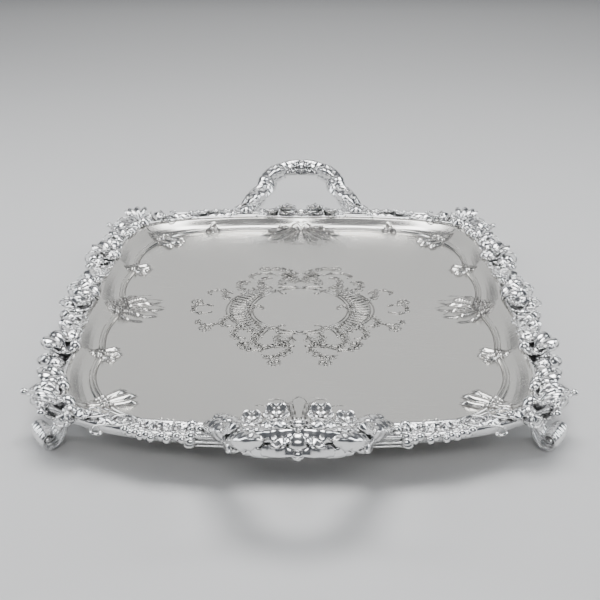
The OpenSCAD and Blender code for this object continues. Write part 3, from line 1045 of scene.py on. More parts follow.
@dataclass
class TrayPlate:
    """The sheet: flat ground, moulded edge, chased shoulder and the ledge that carries the castings."""

    shop: Workshop
    sheet: float = 1.6
    inset: float = 52
    columns_per_tenth: int = 6
    inner_rings: int = 30
    shoulder_rings: int = 40
    fading_rings: int = 6
    profile: tuple = ((0, 0), (0.025, 2.3), (0.06, 3.8), (0.095, 3.2), (0.12, 1.6), (0.155, 2.8), (0.19, 3.4),
                      (0.24, 2.0), (0.32, 2.0), (0.45, 3.4), (0.60, 6.2), (0.75, 9.6), (0.88, 12.4),
                      (1.0, 13.0))
    shells: tuple = (
        ChasedShell((222, 0), 180, 68, 96, 5, 5.4, 0.18),
        ChasedShell((221, 118), 180, 36, 66, 3, 4.6, flute=Flute.SWELLING),
        ChasedShell((206, 236), 212, 58, 46, 3, 5.0, flute=Flute.SWELLING),
        ChasedShell((0, 274), -90, 68, 140, 7, 5.2, 0.10),
        ChasedShell((120, 272), -90, 20, 70, 3, 3.0, flute=Flute.SWELLING),
    )

    def relief(self, x: Array, y: Array) -> Array:
        """Height of all the shells at each point."""
        x, y = np.abs(x), np.abs(y)
        total = np.zeros_like(x)
        for shell_ in self.shells:
            total = np.maximum(total, shell_.relief(x, y))
        return total

    def ring_table(self) -> tuple[Array, Array]:
        """Places of the sheet's top, ring by ring outwards, and their heights above the ground."""
        lines = self.shop.lines
        k = np.arange(0, PLACES_ROUND, 1 / self.columns_per_tenth)
        ground, rim, outer = (np.array([self.all_round(line, v) for v in k])
                              for line in (lines.ground, lines.rim, lines.outer))
        edge = rim * 0.35 + outer * 0.65
        rings, heights = [], []
        size = np.linalg.norm(ground, axis=1, keepdims=True)
        for i in range(self.inner_rings):
            rings.append(ground * (1 - self.inset * (1 - i / self.inner_rings) / size))
            heights.append(0.0)
        share, high = np.array(self.profile).T
        for i in range(self.shoulder_rings + 1):
            u = i / self.shoulder_rings
            rings.append(ground * (1 - u) + rim * u)
            heights.append(float(np.interp(u, share, high)))
        rings.append(edge)
        heights.append(high[-1])
        table = np.array(rings)
        z = np.array(heights)[:, None] + np.zeros(table.shape[1])
        return table, z

    def all_round(self, line: Line, k: float) -> Array:
        """The point of a line at place k counted all the way round, 0 to PLACES_ROUND."""
        at, half_way = self.shop.lines.at, PLACES_ROUND // 2
        if k <= half_way:
            return at(line, k)
        return at(line, k - half_way) * (-1, -1)

    def build(self) -> Shape:
        """The sheet as one closed body."""
        table, z = self.ring_table()
        x, y = table[..., 0], table[..., 1]
        raised = self.relief(x, y)
        raised[-self.fading_rings:] *= np.linspace(1, 0, self.fading_rings)[:, None]
        top = np.stack([x, y, z + raised], axis=2)
        low_rows = [0, self.inner_rings, self.inner_rings + self.shoulder_rings // 3,
                    self.inner_rings + self.shoulder_rings, len(table) - 1]
        low = top[low_rows][::-1].copy()
        low[..., 2] = z[low_rows][::-1] - self.sheet
        everything = np.concatenate([top, low])
        everything[..., 2] += self.shop.lines.ground_z
        rings, columns = everything.shape[:2]
        faces = []
        for i in range(rings - 1):
            for j in range(columns):
                m = (j + 1) % columns
                faces.append((i * columns + j, (i + 1) * columns + j, (i + 1) * columns + m, i * columns + m))
        faces.append(tuple(range(columns)))
        faces.append(tuple((rings - 1) * columns + j for j in range(columns - 1, -1, -1)))
        return outward(Shape().add(everything.reshape(-1, 3), faces))

    def make(self) -> None:
        """Make the sheet and its engraving as one piece."""
        shape = self.build()
        points = shape.all_points()
        raised = self.relief(points[:, 0], points[:, 1])
        # Painted shade: the hollow mask is set where the shells' relief round a point stands higher, in the
        # hollows between their flutes.
        step = 1.6
        around = np.stack([self.relief(points[:, 0] + a, points[:, 1] + b)
                           for a, b in ((step, 0), (-step, 0), (0, step), (0, -step))])
        slope = np.clip((around.mean(axis=0) - raised) * 1.8, 0, 1)
        grooves = slope.reshape(-1, PLACES_ROUND * self.columns_per_tenth)
        # Painted shade: dark lines are added to the mask along the shoulder's creases, at the edge of the
        # ground and in the moulding.
        creases = np.array([self.profile[i][0] for i in (0, 4, 7)])[:, None]
        for i in range(self.shoulder_rings + 1):
            u = i / self.shoulder_rings
            grooves[self.inner_rings + i] += 0.8 * np.exp(-((u - creases) / 0.012) ** 2).max()
        lines = Engraving(self.shop).build()
        make_piece("tray_sheet", [(shape, self.shop.ground, slope),
                                  (lines, self.shop.engraved, np.zeros(lines.count))],
                   "tray_plate")


@dataclass
class Engraving:
    """The engraved cartouche: a blank reserve in C-scrolls and foliage, as fine raised burrs."""

    shop: Workshop
    width: float = 0.34
    reserve_x: float = 52
    reserve_y: float = 61

    def strokes(self) -> list[Array]:
        """The strokes of the right half, as flat lines."""
        made = []

        def frond(x: float, y: float, heading: float, size: float, turn: float, leaves: int = 6) -> None:
            """A curling stem with paired leaves."""
            stem = wander((x, y), heading,
                          [(turn, size, size * 0.6), (turn * 1.6, size * 0.4, size * 0.12)], 9)
            made.append(stem)
            for i in range(1, leaves + 1):
                j = int(i * len(stem) * 0.62 / leaves)
                ahead = stem[min(j + 1, len(stem) - 1)] - stem[j]
                base = math.degrees(math.atan2(ahead[1], ahead[0]))
                for hand in (-1, 1):
                    long = size * (0.34 - 0.03 * i)
                    made.append(wander(tuple(stem[j]), base + 35 * hand, [(50 * hand, long, long * 0.5)], 16))
                    made.append(wander(tuple(stem[j]), base + 60 * hand,
                                       [(-60 * hand, long * 0.7, long)], 16))

        for radius_x, radius_y, reach in ((54, 60, 62), (58, 64, 60), (80, 70, 52), (84, 74, 50)):
            angles = np.radians(np.linspace(-reach, reach, 28))
            made.append(np.column_stack([radius_x * np.cos(angles), radius_y * np.sin(angles)]))
        for angle in np.radians(np.arange(-50, 51, 5)):
            made.append(wander((60 * math.cos(angle), 66 * math.sin(angle)), math.degrees(angle) - 14,
                               [(30, 40, 40)], 8))
        for a in np.linspace(-0.46, 0.46, 3):
            y = a * 2 * self.reserve_y
            x = self.reserve_x * math.sqrt(max(0.1, 1 - (y / (self.reserve_y * 1.35)) ** 2))
            made.append(wander((x + 3, y - 20), 78 - a * 30, [(36, 38, 38), (250, 7, 2)], 10))
            made.append(wander((x + 6, y - 18), 74 - a * 30, [(32, 42, 42), (210, 9, 3)], 10))
            for i in range(9):
                s = y - 17 + i * 4
                made.append(wander((x + 5 + 3 * math.sin(i), s), 8 + 6 * i, [(34, 16, 9)], 17))
        for side in (1, -1):
            made.append(wander((0, side * self.reserve_y), 0,
                               [(side * -28, 46, 40), (side * -200, 8, 3)], 12))
            made.append(wander((2, side * (self.reserve_y + 4)), side * 8, [(side * -30, 50, 44)], 12))
        for x, y, heading, size, turn, leaves in (
                (20, 66, 70, 34, 60, 6), (38, 60, 40, 30, 70, 6), (56, 46, 20, 30, 80, 5),
                (66, 20, 5, 30, 75, 5),
                (66, -14, -12, 30, -80, 5), (58, -42, -30, 32, -75, 5), (40, -60, -45, 34, -70, 6),
                (22, -66, -70, 34, -60, 6), (6, 70, 92, 52, -40, 8), (6, 96, 80, 40, -60, 6),
                (8, -70, -84, 40, 50, 6), (10, -100, -80, 34, 60, 6), (80, 44, 62, 22, -90, 4),
                (86, -34, -58, 22, 90, 4), (28, 100, 48, 26, -90, 5), (30, -98, -46, 26, 90, 5),
                (100, 8, 40, 18, -90, 3), (100, -8, -40, 18, 90, 3)):
            frond(x, y, heading, size, turn, leaves)
        for x, y in ((119, 20), (104, -52), (70, 76), (44, 122), (60, -92), (26, -134)):
            for a in range(0, 360, 72):
                made.append(wander((x, y), a, [(70, 4.5, 4.5), (150, 2.6, 2.2)], 26))
        return made

    def build(self) -> Shape:
        """The burrs of both halves."""
        lines = []
        for stroke in self.strokes():
            flat = np.column_stack([stroke, np.full(len(stroke), self.shop.lines.ground_z - 0.02)])
            lines += [flat, flat * (-1, 1, 1)]
        radii = [self.width * np.sin(np.pi * np.linspace(0.12, 0.95, len(line))) ** 0.5 for line in lines]
        return self.shop.bars.evaluate(line_carrier(lines, radii),
                                       {"Reeds": 0.0, "Groove": 0.0, "Sides": 6, "Metal": self.shop.engraved})


# ---- the border castings -----------------------------------------------------------------------------------


@dataclass
class Band:
    """The moulded strap under the ornaments, with its rolled rim, fluted cove and scalloped skirt."""

    shop: Workshop
    steps: int = 8
    profile: tuple = ((-0.02, 0.02), (-0.03, 1.2), (0.01, 2.2), (0.07, 2.5), (0.13, 2.0), (0.18, 1.0),
                      (0.30, 0.7),
                      (0.45, 0.8), (0.60, 1.3), (0.74, 2.2), (0.84, 2.6), (0.91, 2.0), (0.95, 0.4),
                      (0.94, -1.6),
                      (0.90, -3.6), (0.87, -5.6), (0.84, -7.4), (0.79, -8.2), (0.76, -6.5), (0.78, -3.0),
                      (0.78, 0.02))

    def build(self, k0: float, k1: float, flutes: float = 2.2, depth: float = 0.9) -> Shape:
        """The strap between two places.

        Args:
            k0: where it starts.
            k1: where it ends.
            flutes: flutes to each tenth.
            depth: of the flutes and scallops, in millimetres.

        Returns:
            The closed strap.
        """
        lines = self.shop.lines
        places = np.linspace(k0, k1, int((k1 - k0) * self.steps) + 1)
        columns = len(self.profile)
        points = []
        for k in places:
            rim, outer = lines.at(lines.rim, k), lines.at(lines.outer, k)
            wave = abs(math.sin(math.pi * flutes * k)) - 0.5
            way = (outer - rim) / np.linalg.norm(outer - rim)
            for u, up in self.profile:
                cove = math.exp(-((u - 0.45) / 0.18) ** 2) if up > 0.5 else 0
                if up < -0.5:
                    up *= 1 - 0.85 * math.exp(-((k - 19) / 2.0) ** 2)
                push = depth * wave * (1 if u > 0.8 else 0)
                xy = rim * (1 - u) + outer * u + way * push
                swell = 0.5 * depth * wave if u > 0.7 else 0
                points.append((*xy, lines.seat_z + up + cove * depth * wave + swell))
        faces = []
        for i in range(len(places) - 1):
            for j in range(columns):
                m = (j + 1) % columns
                faces.append((i * columns + j, (i + 1) * columns + j, (i + 1) * columns + m, i * columns + m))
        last = (len(places) - 1) * columns
        faces.append(tuple(range(columns)))
        faces.append(tuple(last + j for j in range(columns - 1, -1, -1)))
        return outward(Shape().add(np.array(points), faces))


@dataclass
class Corner:
    """The corner casting: a leaning crown shell between hook scrolls, leaves and a ring volute."""

    shop: Workshop
    k0: float = 13
    k1: float = 25

    def build(self) -> Shape:
        """The casting in the first quarter."""
        shop, lines = self.shop, self.shop.lines
        made = Band(shop).build(self.k0, self.k1, flutes=0, depth=0)
        crown = shell(27, 150, 5, rise=76, curl=-14, depth=3.8, flute=Flute.SWELLING, thickness=2.0)
        made.join(lines.put(crown, 20.3, 0.3, 0.5))
        made.join(lines.put(dome(8.0, 9.0, 10), 20.3, 0.0, 1.0))
        for k, u, yaw, size, arch in ((18.3, 0.3, -40, 27, 58), (22.4, 0.3, 44, 26, 56),
                                      (13.9, 0.3, -50, 24, 44),
                                      (24.4, 0.5, 78, 22, 24)):
            made.join(lines.put(stout_leaf(size, arch, -54), k, u, LEAF_UP, yaw))
        made.join(lines.put(shell(22, 172, 3, rise=58, curl=-52, depth=4.6, flute=Flute.SWELLING,
                                  thickness=2.0),
                            15.7, 0.25, 0.5))
        made.join(lines.put(dome(6.6, 7.4, 8.0), 17.3, 0.05, 1.0))
        ring = Scroll(wander((6.5, 0), 90, [(340, 6.5, 6.5)]), 3.4, 3.0, 3.5, ends=0.9, eyes=(False, False))
        bars = [
            lines.lay(standing_curl(33, 8.0), 19.0, 0.8, -1, -22, 70),
            lines.lay(standing_curl(29, 7.4), 21.8, 0.8, -1, 24, 70),
            lines.lay(standing_curl(26, 6.8), 14.3, 0.7, -1, -16, 64),
            lines.lay(hook((-8, -10), -10, [(78, 28, 22), (330, 10, 4.0)], 6.8, 2, 8), 16.9, 0.6),
            lines.lay(ring, 23.5, 0.15),
            lines.lay(s_scroll((1, 0), 92, 22, 5.4, 1, -1, 4), 23.3, 0.75),
        ]
        made.join(shop.bars.cast(bars, shop.cast, **BOLD))
        return made

    def make(self) -> None:
        """Make the four castings."""
        self.shop.finish("corner", self.build(), ALL_QUARTERS)


@dataclass
class SideShell:
    """The middle of a side: a small fluted crest and a bead between two pairs of curling tips."""

    shop: Workshop

    def half(self) -> Shape:
        """The half with positive y."""
        shop, lines = self.shop, self.shop.lines
        made = Shape()
        for k, u, yaw, size, arch in ((1.2, 0.15, 26, 28, 60), (3.7, 0.45, 66, 22, 34)):
            made.join(lines.put(leaf(size, size * 0.72, 3, arch=arch, curl=-56, ridge=2.2, thickness=1.8),
                                k, u, 1.2, yaw))
        bars = [
            lines.lay(standing_curl(33, 8.4), 1.6, 0.75, -1, -26, 68),
            lines.lay(standing_curl(25, 6.8), 3.3, 0.75, -1, 24, 66),
            lines.lay(hook((-14, -12), 42, [(-44, 34, 26), (-330, 10, 4.0)], 6.8, 1, 5), 2.6, 0.9),
            lines.lay(c_scroll((-3, 0), 90, 19, 4.4, -1, 1, 4), 2.3, 0.05),
        ]
        made.join(shop.bars.cast(bars, shop.cast, **BOLD))
        made.join(lines.put(rosette(10, 5), 2.2, 0.3, 4.5, pitch=-16))
        made.join(lines.put(dome(6.4, 6.4, 8), 0.0, 0.55, 3.0))
        return made

    def make(self) -> None:
        """Make the two castings."""
        half = self.half()
        made = Band(self.shop).build(-4, 4, flutes=0, depth=0).join(half)
        made.join(half.mirrored(Quarter.FRONT_RIGHT))
        crest = shell(23, 168, 3, rise=60, curl=-44, depth=4.6, flute=Flute.SWELLING, thickness=2.0)
        made.join(self.shop.lines.put(crest, 0, -0.1, 0.6))
        self.shop.finish("side_shell", made, SIDES)


@dataclass
class SideScroll:
    """The smooth hollow band and C-scroll between a side's shell and its flowers."""

    shop: Workshop

    def make(self) -> None:
        """Make the four castings."""
        shop, lines = self.shop, self.shop.lines
        made = Band(shop).build(4, 8, flutes=0, depth=0)
        made.join(lines.put(leaf(26, 16, 3, arch=30, curl=-50, ridge=2.2), 4.4, 0.75, 1.4, 82))
        bars = [
            lines.lay(c_scroll((1, 0), 90, 27, 6.0, 1, 0, 4), 6.1, 0.9),
            lines.lay(c_scroll((-4, 0), 90, 21, 3.8, -1, 0, 2.5), 6.0, 0.05),
            lines.lay(standing_curl(19, 5.6), 7.4, 0.85, -1, 10, 62),
        ]
        made.join(shop.bars.cast(bars, shop.cast, **BOLD))
        shop.finish("side_scroll", made, ALL_QUARTERS)


@dataclass
class SideFlower:
    """A cluster of flowers between a fluted crest and curling tips on a side."""

    shop: Workshop

    def make(self) -> None:
        """Make the four castings."""
        shop, lines = self.shop, self.shop.lines
        made = Band(shop).build(8, 13, flutes=0, depth=0)
        crest = shell(24, 165, 3, rise=66, curl=-24, depth=4.6, flute=Flute.SWELLING, thickness=2.0)
        made.join(lines.put(crest, 10.4, 0.35, 0.6))
        for k, u, radius, pitch in ((9.2, 0.3, 10.5, -14), (11.6, 0.3, 10.5, -10)):
            made.join(lines.put(rosette(radius, 5), k, u, 3.0, yaw=20 * k, pitch=pitch))
        made.join(lines.put(dome(6.5, 6.5, 8.5), 10.4, 0.0, 1.0))
        for k, yaw in ((8.6, -60), (12.4, 66)):
            side_leaf = leaf(23, 23 * 0.7, 3, arch=48, curl=-58, ridge=2.2)
            made.join(lines.put(side_leaf, k, 0.4, LEAF_UP, yaw))
        bars = [lines.lay(standing_curl(28, 7.4), 9.2, 0.8, -1, -12, 68),
                lines.lay(standing_curl(25, 7.0), 11.7, 0.8, -1, 18, 68)]
        made.join(shop.bars.cast(bars, shop.cast, **BOLD))
        shop.finish("side_flower", made, ALL_QUARTERS)


@dataclass
class EndScroll:
    """The long leafy scroll between a corner and an end's flowers."""

    shop: Workshop

    def make(self) -> None:
        """Make the four castings."""
        shop, lines = self.shop, self.shop.lines
        made = Band(shop).build(25, 28, flutes=0, depth=0)
        made.join(lines.put(leaf(30, 12, 4, arch=14, curl=-26, ridge=1.3), 25.3, 0.55, 1.2, 84))
        bars = [lines.lay(s_scroll((3, 0), 90, 17, 3.2, 1, -1, 3), 26.2, 0.75),
                lines.lay(c_scroll((-3, 0), 90, 15, 2.2, -1, 0, 2.5), 26.8, 0.1)]
        made.join(shop.bars.cast(bars, shop.cast, reeds=3, groove=0.10))
        made.join(shop.bunch(27.5, 0.9, -6.0, 4.1, 3, 5.5))
        shop.finish("end_scroll", made, ALL_QUARTERS)


@dataclass
class EndFlower:
    """A cluster of small flowers and berries on an end."""

    shop: Workshop

    def make(self) -> None:
        """Make the four castings."""
        shop, lines = self.shop, self.shop.lines
        made = Band(shop).build(28, 32, flutes=1.0, depth=0.8)
        for k, u, radius, pitch in ((28.7, 0.6, 6.0, -20), (29.9, 0.7, 7.4, -26), (31.2, 0.6, 6.0, -20)):
            made.join(lines.put(rosette(radius, 5), k, u, 0.8, yaw=25 * k, pitch=pitch))
        for k, u in ((28.4, 0.96), (29.3, 1.0), (30.5, 1.0), (31.6, 0.96)):
            made.join(shop.bunch(k, u, -6.5, 4.1, 3, 5.6))
        for k, yaw in ((29.4, 66), (31.4, -66)):
            made.join(lines.put(leaf(17, 9, 3, arch=24, curl=-40, ridge=1.1), k, 0.15, 1.0, yaw))
        shop.finish("end_flower", made, ALL_QUARTERS)


@dataclass
class Collar:
    """The reeded sleeve from which a handle's root springs."""

    shop: Workshop

    def make(self) -> None:
        """Make the four castings."""
        shop, lines = self.shop, self.shop.lines
        made = Band(shop).build(32, 35, flutes=0.0, depth=0.0)
        rows = ((0.25, 1.2, 2.4), (0.55, 1.6, 3.0), (0.86, 0.6, 3.2), (1.03, -3.2, 3.2), (0.99, -7.2, 2.6))
        for u, up, thick in rows:
            line = np.array([(*lines.spot(k, u), lines.seat_z + up) for k in np.linspace(32.4, 35.6, 14)])
            made.join(shop.bars.cast([Scroll(line, thick, ends=0.8)], shop.cast, reeds=0, groove=0))
        ring = [(u, up + 0.6) for u, up, _ in rows]
        line = np.array([(*lines.spot(32.3, u), lines.seat_z + up) for u, up in ring])
        made.join(shop.bars.cast([Scroll(line, 3.6, ends=0.8)], shop.cast, reeds=0, groove=0))
        made.join(lines.put(leaf(18, 10, 3, arch=24, curl=-40, ridge=1.2), 32.3, 0.25, 1.4, -84))
        shop.finish("collar", made, ALL_QUARTERS)


@dataclass
class EndShell:
    """The middle of an end: a pearl boss between two volutes, among leaves, flowers and berries."""

    shop: Workshop

    def half(self) -> Shape:
        """The half with positive x."""
        shop, lines = self.shop, self.shop.lines
        made = Shape()
        bars = [lines.lay(hook((0, 16), -70, [(-55, 22, 16), (-330, 8, 2.2)], 3.4, 2, 6), 38.0, 0.45),
                lines.lay(c_scroll((3, 0), 90, 15, 2.8, 1, 1, 4), 36.2, 0.7)]
        made.join(shop.bars.cast(bars, shop.cast, reeds=3, groove=0.10))
        for k, yaw, size in ((37.0, -78, 22), (38.5, -40, 17)):
            made.join(lines.put(leaf(size, size * 0.6, 3, arch=36, curl=-56, ridge=1.4), k, 0.3, 1.8, yaw))
        made.join(shop.bunch(36.5, 0.25, 0.5, 2.8, 5, 6))
        made.join(shop.bunch(37.4, 0.9, -2.0, 3.2, 5, 6))
        made.join(shop.bunch(35.6, 0.9, -4.0, 3.2, 4, 6))
        for k, u, yaw, size, arch in ((39.0, 0.12, -24, 31, 64), (37.4, 0.08, 20, 28, 56),
                                      (35.9, 0.1, 46, 24, 42)):
            made.join(lines.put(stout_leaf(size, arch, -50), k, u, LEAF_UP, yaw))
        made.join(lines.put(rosette(10.5, 5), 38.4, 0.1, 10, pitch=-20))
        made.join(lines.put(rosette(9.0, 5), 36.6, 0.08, 5, pitch=-14))
        return made

    def make(self) -> None:
        """Make the two castings."""
        shop, lines = self.shop, self.shop.lines
        half = self.half()
        made = Band(shop).build(35, 45).join(half).join(half.mirrored(Quarter.BACK_LEFT))
        made.join(lines.put(dome(6.0, 9.0, 7.0, 8, 24), END_MIDDLE, 0.35, 2.4))
        x, y = lines.spot(END_MIDDLE, 0.35)
        pearls = [(x + 11.5 * math.cos(a), y + 8.4 * math.sin(a), lines.seat_z + 4)
                  for a in np.linspace(0, math.tau, 20, endpoint=False)]
        made.join(shop.berries.cast(pearls, 1.8, shop.cast))
        crest = shell(16, 165, 5, rise=30, curl=-60, depth=2.8, flute=Flute.SWELLING)
        made.join(lines.put(crest, END_MIDDLE, 0.6, 1.0))
        shop.finish("end_shell", made, ENDS)


# ---- handles and feet --------------------------------------------------------------------------------------


@dataclass
class Rail:
    """A smooth path in space that ornaments can be wrapped on."""

    knots: list[tuple[float, float, float]]
    up: tuple[float, float, float] = (0, 0, 1)

    def __post_init__(self) -> None:
        """Lay a smooth spline through the knots and measure it."""
        p = np.array(self.knots, float)
        p = np.concatenate([[2 * p[0] - p[1]], p, [2 * p[-1] - p[-2]]])
        fine = [p[1][None]]
        for i in range(1, len(p) - 2):
            t = np.linspace(0, 1, 13)[1:, None]
            a, b, c, d = p[i - 1:i + 3]
            fine.append(0.5 * (2 * b + (c - a) * t + (2 * a - 5 * b + 4 * c - d) * t ** 2
                               + (3 * b - a - 3 * c + d) * t ** 3))
        self.line = np.concatenate(fine)
        self.length = np.concatenate([[0], np.cumsum(np.linalg.norm(np.diff(self.line, axis=0), axis=1))])
        self.way = np.gradient(self.line, self.length, axis=0)
        self.way /= np.linalg.norm(self.way, axis=1, keepdims=True)
        self.side = np.cross(np.array(self.up, float), self.way)
        self.side /= np.linalg.norm(self.side, axis=1, keepdims=True)
        self.top = np.cross(self.way, self.side)

    def wrap(self, shape: Shape, start: float, angle: float, radius: float, twist: float = 0) -> Shape:
        """Bend an ornament along the path and round it.

        Args:
            shape: its +x runs along the path, its y round it and its z away from it.
            start: length along the path at its origin.
            angle: where its middle lies, in degrees from the path's top.
            radius: the bar's radius under it.
            twist: how much it winds round, in degrees per millimetre.

        Returns:
            The wrapped ornament.
        """
        def rule(p: Array) -> Array:
            s = start + p[:, 0]
            pick = [np.stack([np.interp(s, self.length, t[:, k]) for k in range(3)], axis=1)
                    for t in (self.line, self.side, self.top)]
            turn = np.radians(angle + twist * p[:, 0]) + p[:, 1] / radius
            out = (radius + p[:, 2])[:, None]
            return pick[0] + out * (pick[1] * np.sin(turn)[:, None] + pick[2] * np.cos(turn)[:, None])
        return shape.mapped(rule)


@dataclass
class Handle:
    """A loop handle: a stout bar sheathed in acanthus, rising from two leafy roots."""

    shop: Workshop
    grip: float = 8.2
    leg: float = 10.2
    half_width: float = 51.0

    def path(self) -> Rail:
        """The right half of the loop, from its root to the middle of the grip."""
        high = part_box("handle_back")[1]
        top = Vector((0, high.y / MM - 7, high.z / MM - 7))
        root = Vector((*self.shop.lines.spot(33.8, 0.6), self.shop.lines.seat_z + 6))
        turn = Vector((self.half_width, top.y - 35, top.z - 15.6))
        a, b, c = root, root + Vector((-1, 3, 8)), turn - Vector((0, 14, 9))
        knots = []
        for t in np.linspace(0, 1, 7)[:-1]:
            knots.append(tuple(a * (1 - t) ** 3 + b * 3 * t * (1 - t) ** 2 + c * 3 * t * t * (1 - t)
                               + turn * t ** 3))
        for angle in np.radians(np.linspace(0, 90, 8)):
            rise = math.sin(angle)
            knots.append((turn.x * math.cos(angle), turn.y + (top.y - turn.y) * rise,
                          turn.z + (top.z - turn.z) * rise))
        return Rail(knots, (0, -0.5, 0.866))

    def half(self) -> Shape:
        """The half with positive x."""
        shop, rail = self.shop, self.path()
        total = rail.length[-1]
        share = rail.length / total
        radius = np.interp(share, [0, 0.10, 0.4, 0.7, 1],
                           [8.5, self.leg, self.leg * 0.9, self.grip, self.grip])
        made = shop.bars.evaluate(line_carrier([rail.line], [radius]),
                                  {"Reeds": 6.0, "Groove": 0.06, "Sides": 36, "Metal": shop.cast})
        for part, angle, long, wide in (
                (0.02, 20, 44, 26), (0.03, 140, 44, 26), (0.03, 260, 44, 26),
                (0.27, 80, 42, 24), (0.28, 200, 40, 24), (0.27, 320, 42, 24),
                (0.52, 20, 40, 22), (0.52, 140, 38, 22), (0.53, 260, 38, 22),
                (0.75, 80, 32, 20), (0.76, 200, 30, 20), (0.75, 320, 32, 20)):
            start = part * total
            piece = leaf(long, wide, 4, arch=14, curl=-12, ridge=2.4, thickness=1.5)
            made.join(rail.wrap(piece, start, angle, np.interp(part, share, radius) + 0.2, 0.55))
        for part, angle in ((0.20, 40), (0.21, 180), (0.44, 350), (0.46, 120), (0.68, 40), (0.70, 190)):
            curl = leaf(20, 15, 3, arch=46, curl=-80, ridge=1.4, thickness=1.5)
            made.join(rail.wrap(curl, part * total, angle, 7.2, 0.4))
        x, y, z = rail.line[0]
        root = wander((x - 6, y + 2), -40, [(80, 17, 13), (330, 7, 2.2)])
        spine = np.column_stack([root, np.full(len(root), z + 1.0)])
        made.join(shop.bars.cast([Scroll(spine, 4.0, ends=0.6)], shop.cast, reeds=3, groove=0.1))
        made.join(turned(dome(9.5, 9.5, 8), at=(x, y, z - 2)))
        return made

    def make(self) -> None:
        """Make the two handles."""
        half = self.half()
        made = Shape().join(half).join(half.mirrored(Quarter.BACK_LEFT))
        y, z = self.path().line[-1][1:]
        for roll in (0, 180):
            made.join(turned(dome(10.5, 9.6, 9.8, 9, 32), roll=roll, at=(0, y, z)))
            made.join(turned(dome(5.4, 5.0, 5.0, 7, 24), roll=roll, at=(0, y + 7.5, z - 5.5)))
        for yaw in (-32, 0, 32, 148, 180, 212):
            petal = leaf(24, 13, 3, arch=26, curl=-50, ridge=1.3)
            made.join(turned(petal, yaw=yaw, at=(3 if abs(yaw) < 90 else -3, y, z + 5)))
        self.shop.finish("handle", made, ENDS)


@dataclass
class Foot:
    """A scroll foot: a fluted shell between two reeded bars that roll up into a toe."""

    shop: Workshop
    turn: float = 32

    def side_line(self) -> Array:
        """The foot's line seen from the side, as (out, up)."""
        fall = Rail([(26, 0, 50), (23, 0, 45), (15, 0, 38.5), (7, 0, 32), (2, 0, 25), (2, 0, 18),
                     (6, 0, 11.5),
                     (11, 0, 7)], (0, 1, 0)).line[:, [0, 2]]
        toe = wander(tuple(fall[-1]), -32, [(120, 9.5, 8.5), (320, 7.0, 2.4)], 12)
        return np.concatenate([fall, toe[1:]])

    def build(self) -> Shape:
        """The foot in the first quarter."""
        shop, lines = self.shop, self.shop.lines
        inner, edge = lines.spot(19, 0), lines.spot(19, 0.65)
        x, y = inner * 0.6 + edge * 0.4
        line = self.side_line()
        line[:, 1] -= line[:, 1].min() - 3.6
        length = np.concatenate([[0], np.cumsum(np.linalg.norm(np.diff(line, axis=0), axis=1))])
        share = length / length[-1]
        half = np.interp(share, [0, 0.12, 0.3, 0.42, 0.6, 0.8, 1], [23, 21, 15, 12.5, 15, 15, 10])
        v = np.linspace(-1, 1, 31)
        way = np.gradient(line, axis=0)
        way /= np.linalg.norm(way, axis=1, keepdims=True)
        flute = 1.1 * np.abs(np.sin(2.5 * np.pi * (v + 1))) - 2.4 * (1 - v ** 2)
        top = np.zeros((len(line), len(v), 3))
        for i, (out, up) in enumerate(line):
            lift = flute * (1 - 0.5 * share[i])
            top[i, :, 0] = out - way[i, 1] * lift
            top[i, :, 1] = half[i] * v
            top[i, :, 2] = up + way[i, 0] * lift
        made = outward(slab(top, 1.8))
        bars = [Scroll(np.column_stack([line[:, 0], half * hand, line[:, 1]]), 3.0,
                       ends=0.75) for hand in (-1, 1)]
        made.join(shop.bars.cast(bars, shop.cast, reeds=4, groove=0.12))
        for hand in (-1, 1):
            curl = wander((0, 10 * hand), 90 * hand, [(-50 * hand, 18, 14), (-320 * hand, 7, 2)])
            spine = np.column_stack([curl, np.linspace(34, 37, len(curl))])
            made.join(shop.bars.cast([Scroll(spine, 3.2, ends=0.6)], shop.cast, reeds=3, groove=0.1))
            drop = leaf(20, 12, 3, arch=-64, curl=-86, ridge=1.4)
            made.join(turned(drop, yaw=hand * 74, at=(8, hand * 15, 41)))
        return turned(made, yaw=self.turn, at=(x, y, 0))

    def make(self) -> None:
        """Make the four feet."""
        self.shop.finish("foot", self.build(), ALL_QUARTERS)


# ---- the studio --------------------------------------------------------------------------------------------


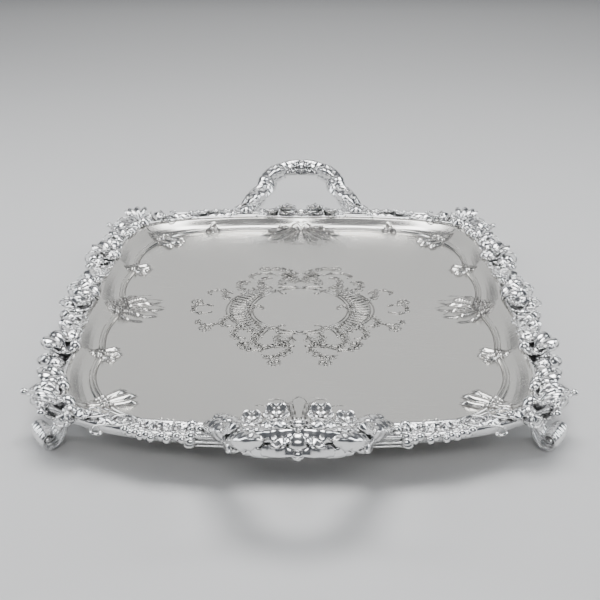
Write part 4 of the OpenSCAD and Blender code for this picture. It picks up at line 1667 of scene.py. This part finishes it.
@dataclass
class Studio:
    """A plain pale floor, soft lights and the camera."""

    focal: float = 63.0
    camera_at: tuple = (0.005, -1.0929, 0.5193)
    pitch: float = 23.63
    yaw: float = 0.27
    panels: tuple = (
        # place, aim, width, height, watts, warmth
        ((0.0, 2.6, 1.35), (0, 0, 0.1), 3.6, 1.5, 15, (1.0, 1.0, 0.99)),
        ((0.0, 0.15, 1.9), (0, 0, 0), 1.1, 0.9, 34, (1.0, 1.0, 1.0)),
        ((-1.8, 0.2, 1.0), (0, 0, 0), 0.45, 1.8, 18, (0.94, 0.97, 1.0)),
        ((1.8, 0.2, 1.0), (0, 0, 0), 0.45, 1.8, 18, (0.94, 0.97, 1.0)),
        ((0.0, -1.9, 1.5), (0, 0, 0), 1.6, 0.4, 16, (1.0, 1.0, 1.0)),
    )

    def make(self) -> None:
        """Set up the floor, the lights, the world and the camera."""
        scene = bpy.context.scene
        mesh = bpy.data.meshes.new("floor")
        size = 9.0
        mesh.from_pydata([(-size, -size, 0), (size, -size, 0), (size, size, 0), (-size, size, 0)], [],
                         [(0, 1, 2, 3)])
        floor = bpy.data.objects.new("floor", mesh)
        scene.collection.objects.link(floor)
        paper = bpy.data.materials.new("pale_floor")
        paper.use_nodes = True
        shader = paper.node_tree.nodes["Principled BSDF"]
        shader.inputs["Base Color"].default_value = (0.72, 0.72, 0.72, 1)
        shader.inputs["Roughness"].default_value = 0.8
        mesh.materials.append(paper)
        world = bpy.data.worlds.new("studio")
        world.use_nodes = True
        world.node_tree.nodes["Background"].inputs["Color"].default_value = (0.085, 0.09, 0.10, 1)
        scene.world = world
        for i, (place, aim, width, height, watts, tint) in enumerate(self.panels):
            lamp = bpy.data.lights.new(f"panel_{i}", "AREA")
            lamp.shape, lamp.size, lamp.size_y = "RECTANGLE", width, height
            lamp.energy, lamp.color = watts, tint
            holder = bpy.data.objects.new(f"panel_{i}", lamp)
            holder.location = place
            holder.rotation_euler = (Vector(aim) - Vector(place)).to_track_quat("-Z", "Y").to_euler()
            scene.collection.objects.link(holder)
        data = bpy.data.cameras.new("camera")
        data.lens, data.sensor_width = self.focal, 36.0
        camera = bpy.data.objects.new("camera", data)
        camera.location = self.camera_at
        camera.rotation_euler = (math.radians(90 - self.pitch), 0, math.radians(self.yaw))
        scene.collection.objects.link(camera)
        scene.camera = camera


def main() -> None:
    """Build every sub-assembly in order and report each piece."""
    logging.basicConfig(level=logging.INFO, format="%(name)s %(message)s")
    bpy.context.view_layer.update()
    Studio().make()
    shop = Workshop.open()
    for kind in (TrayPlate, Corner, SideShell, SideScroll, SideFlower, EndScroll, EndFlower, Collar, EndShell,
                 Handle, Foot):
        kind(shop).make()
        LOG.info("%s done", kind.__name__)


if __name__ == "__main__":
    main()
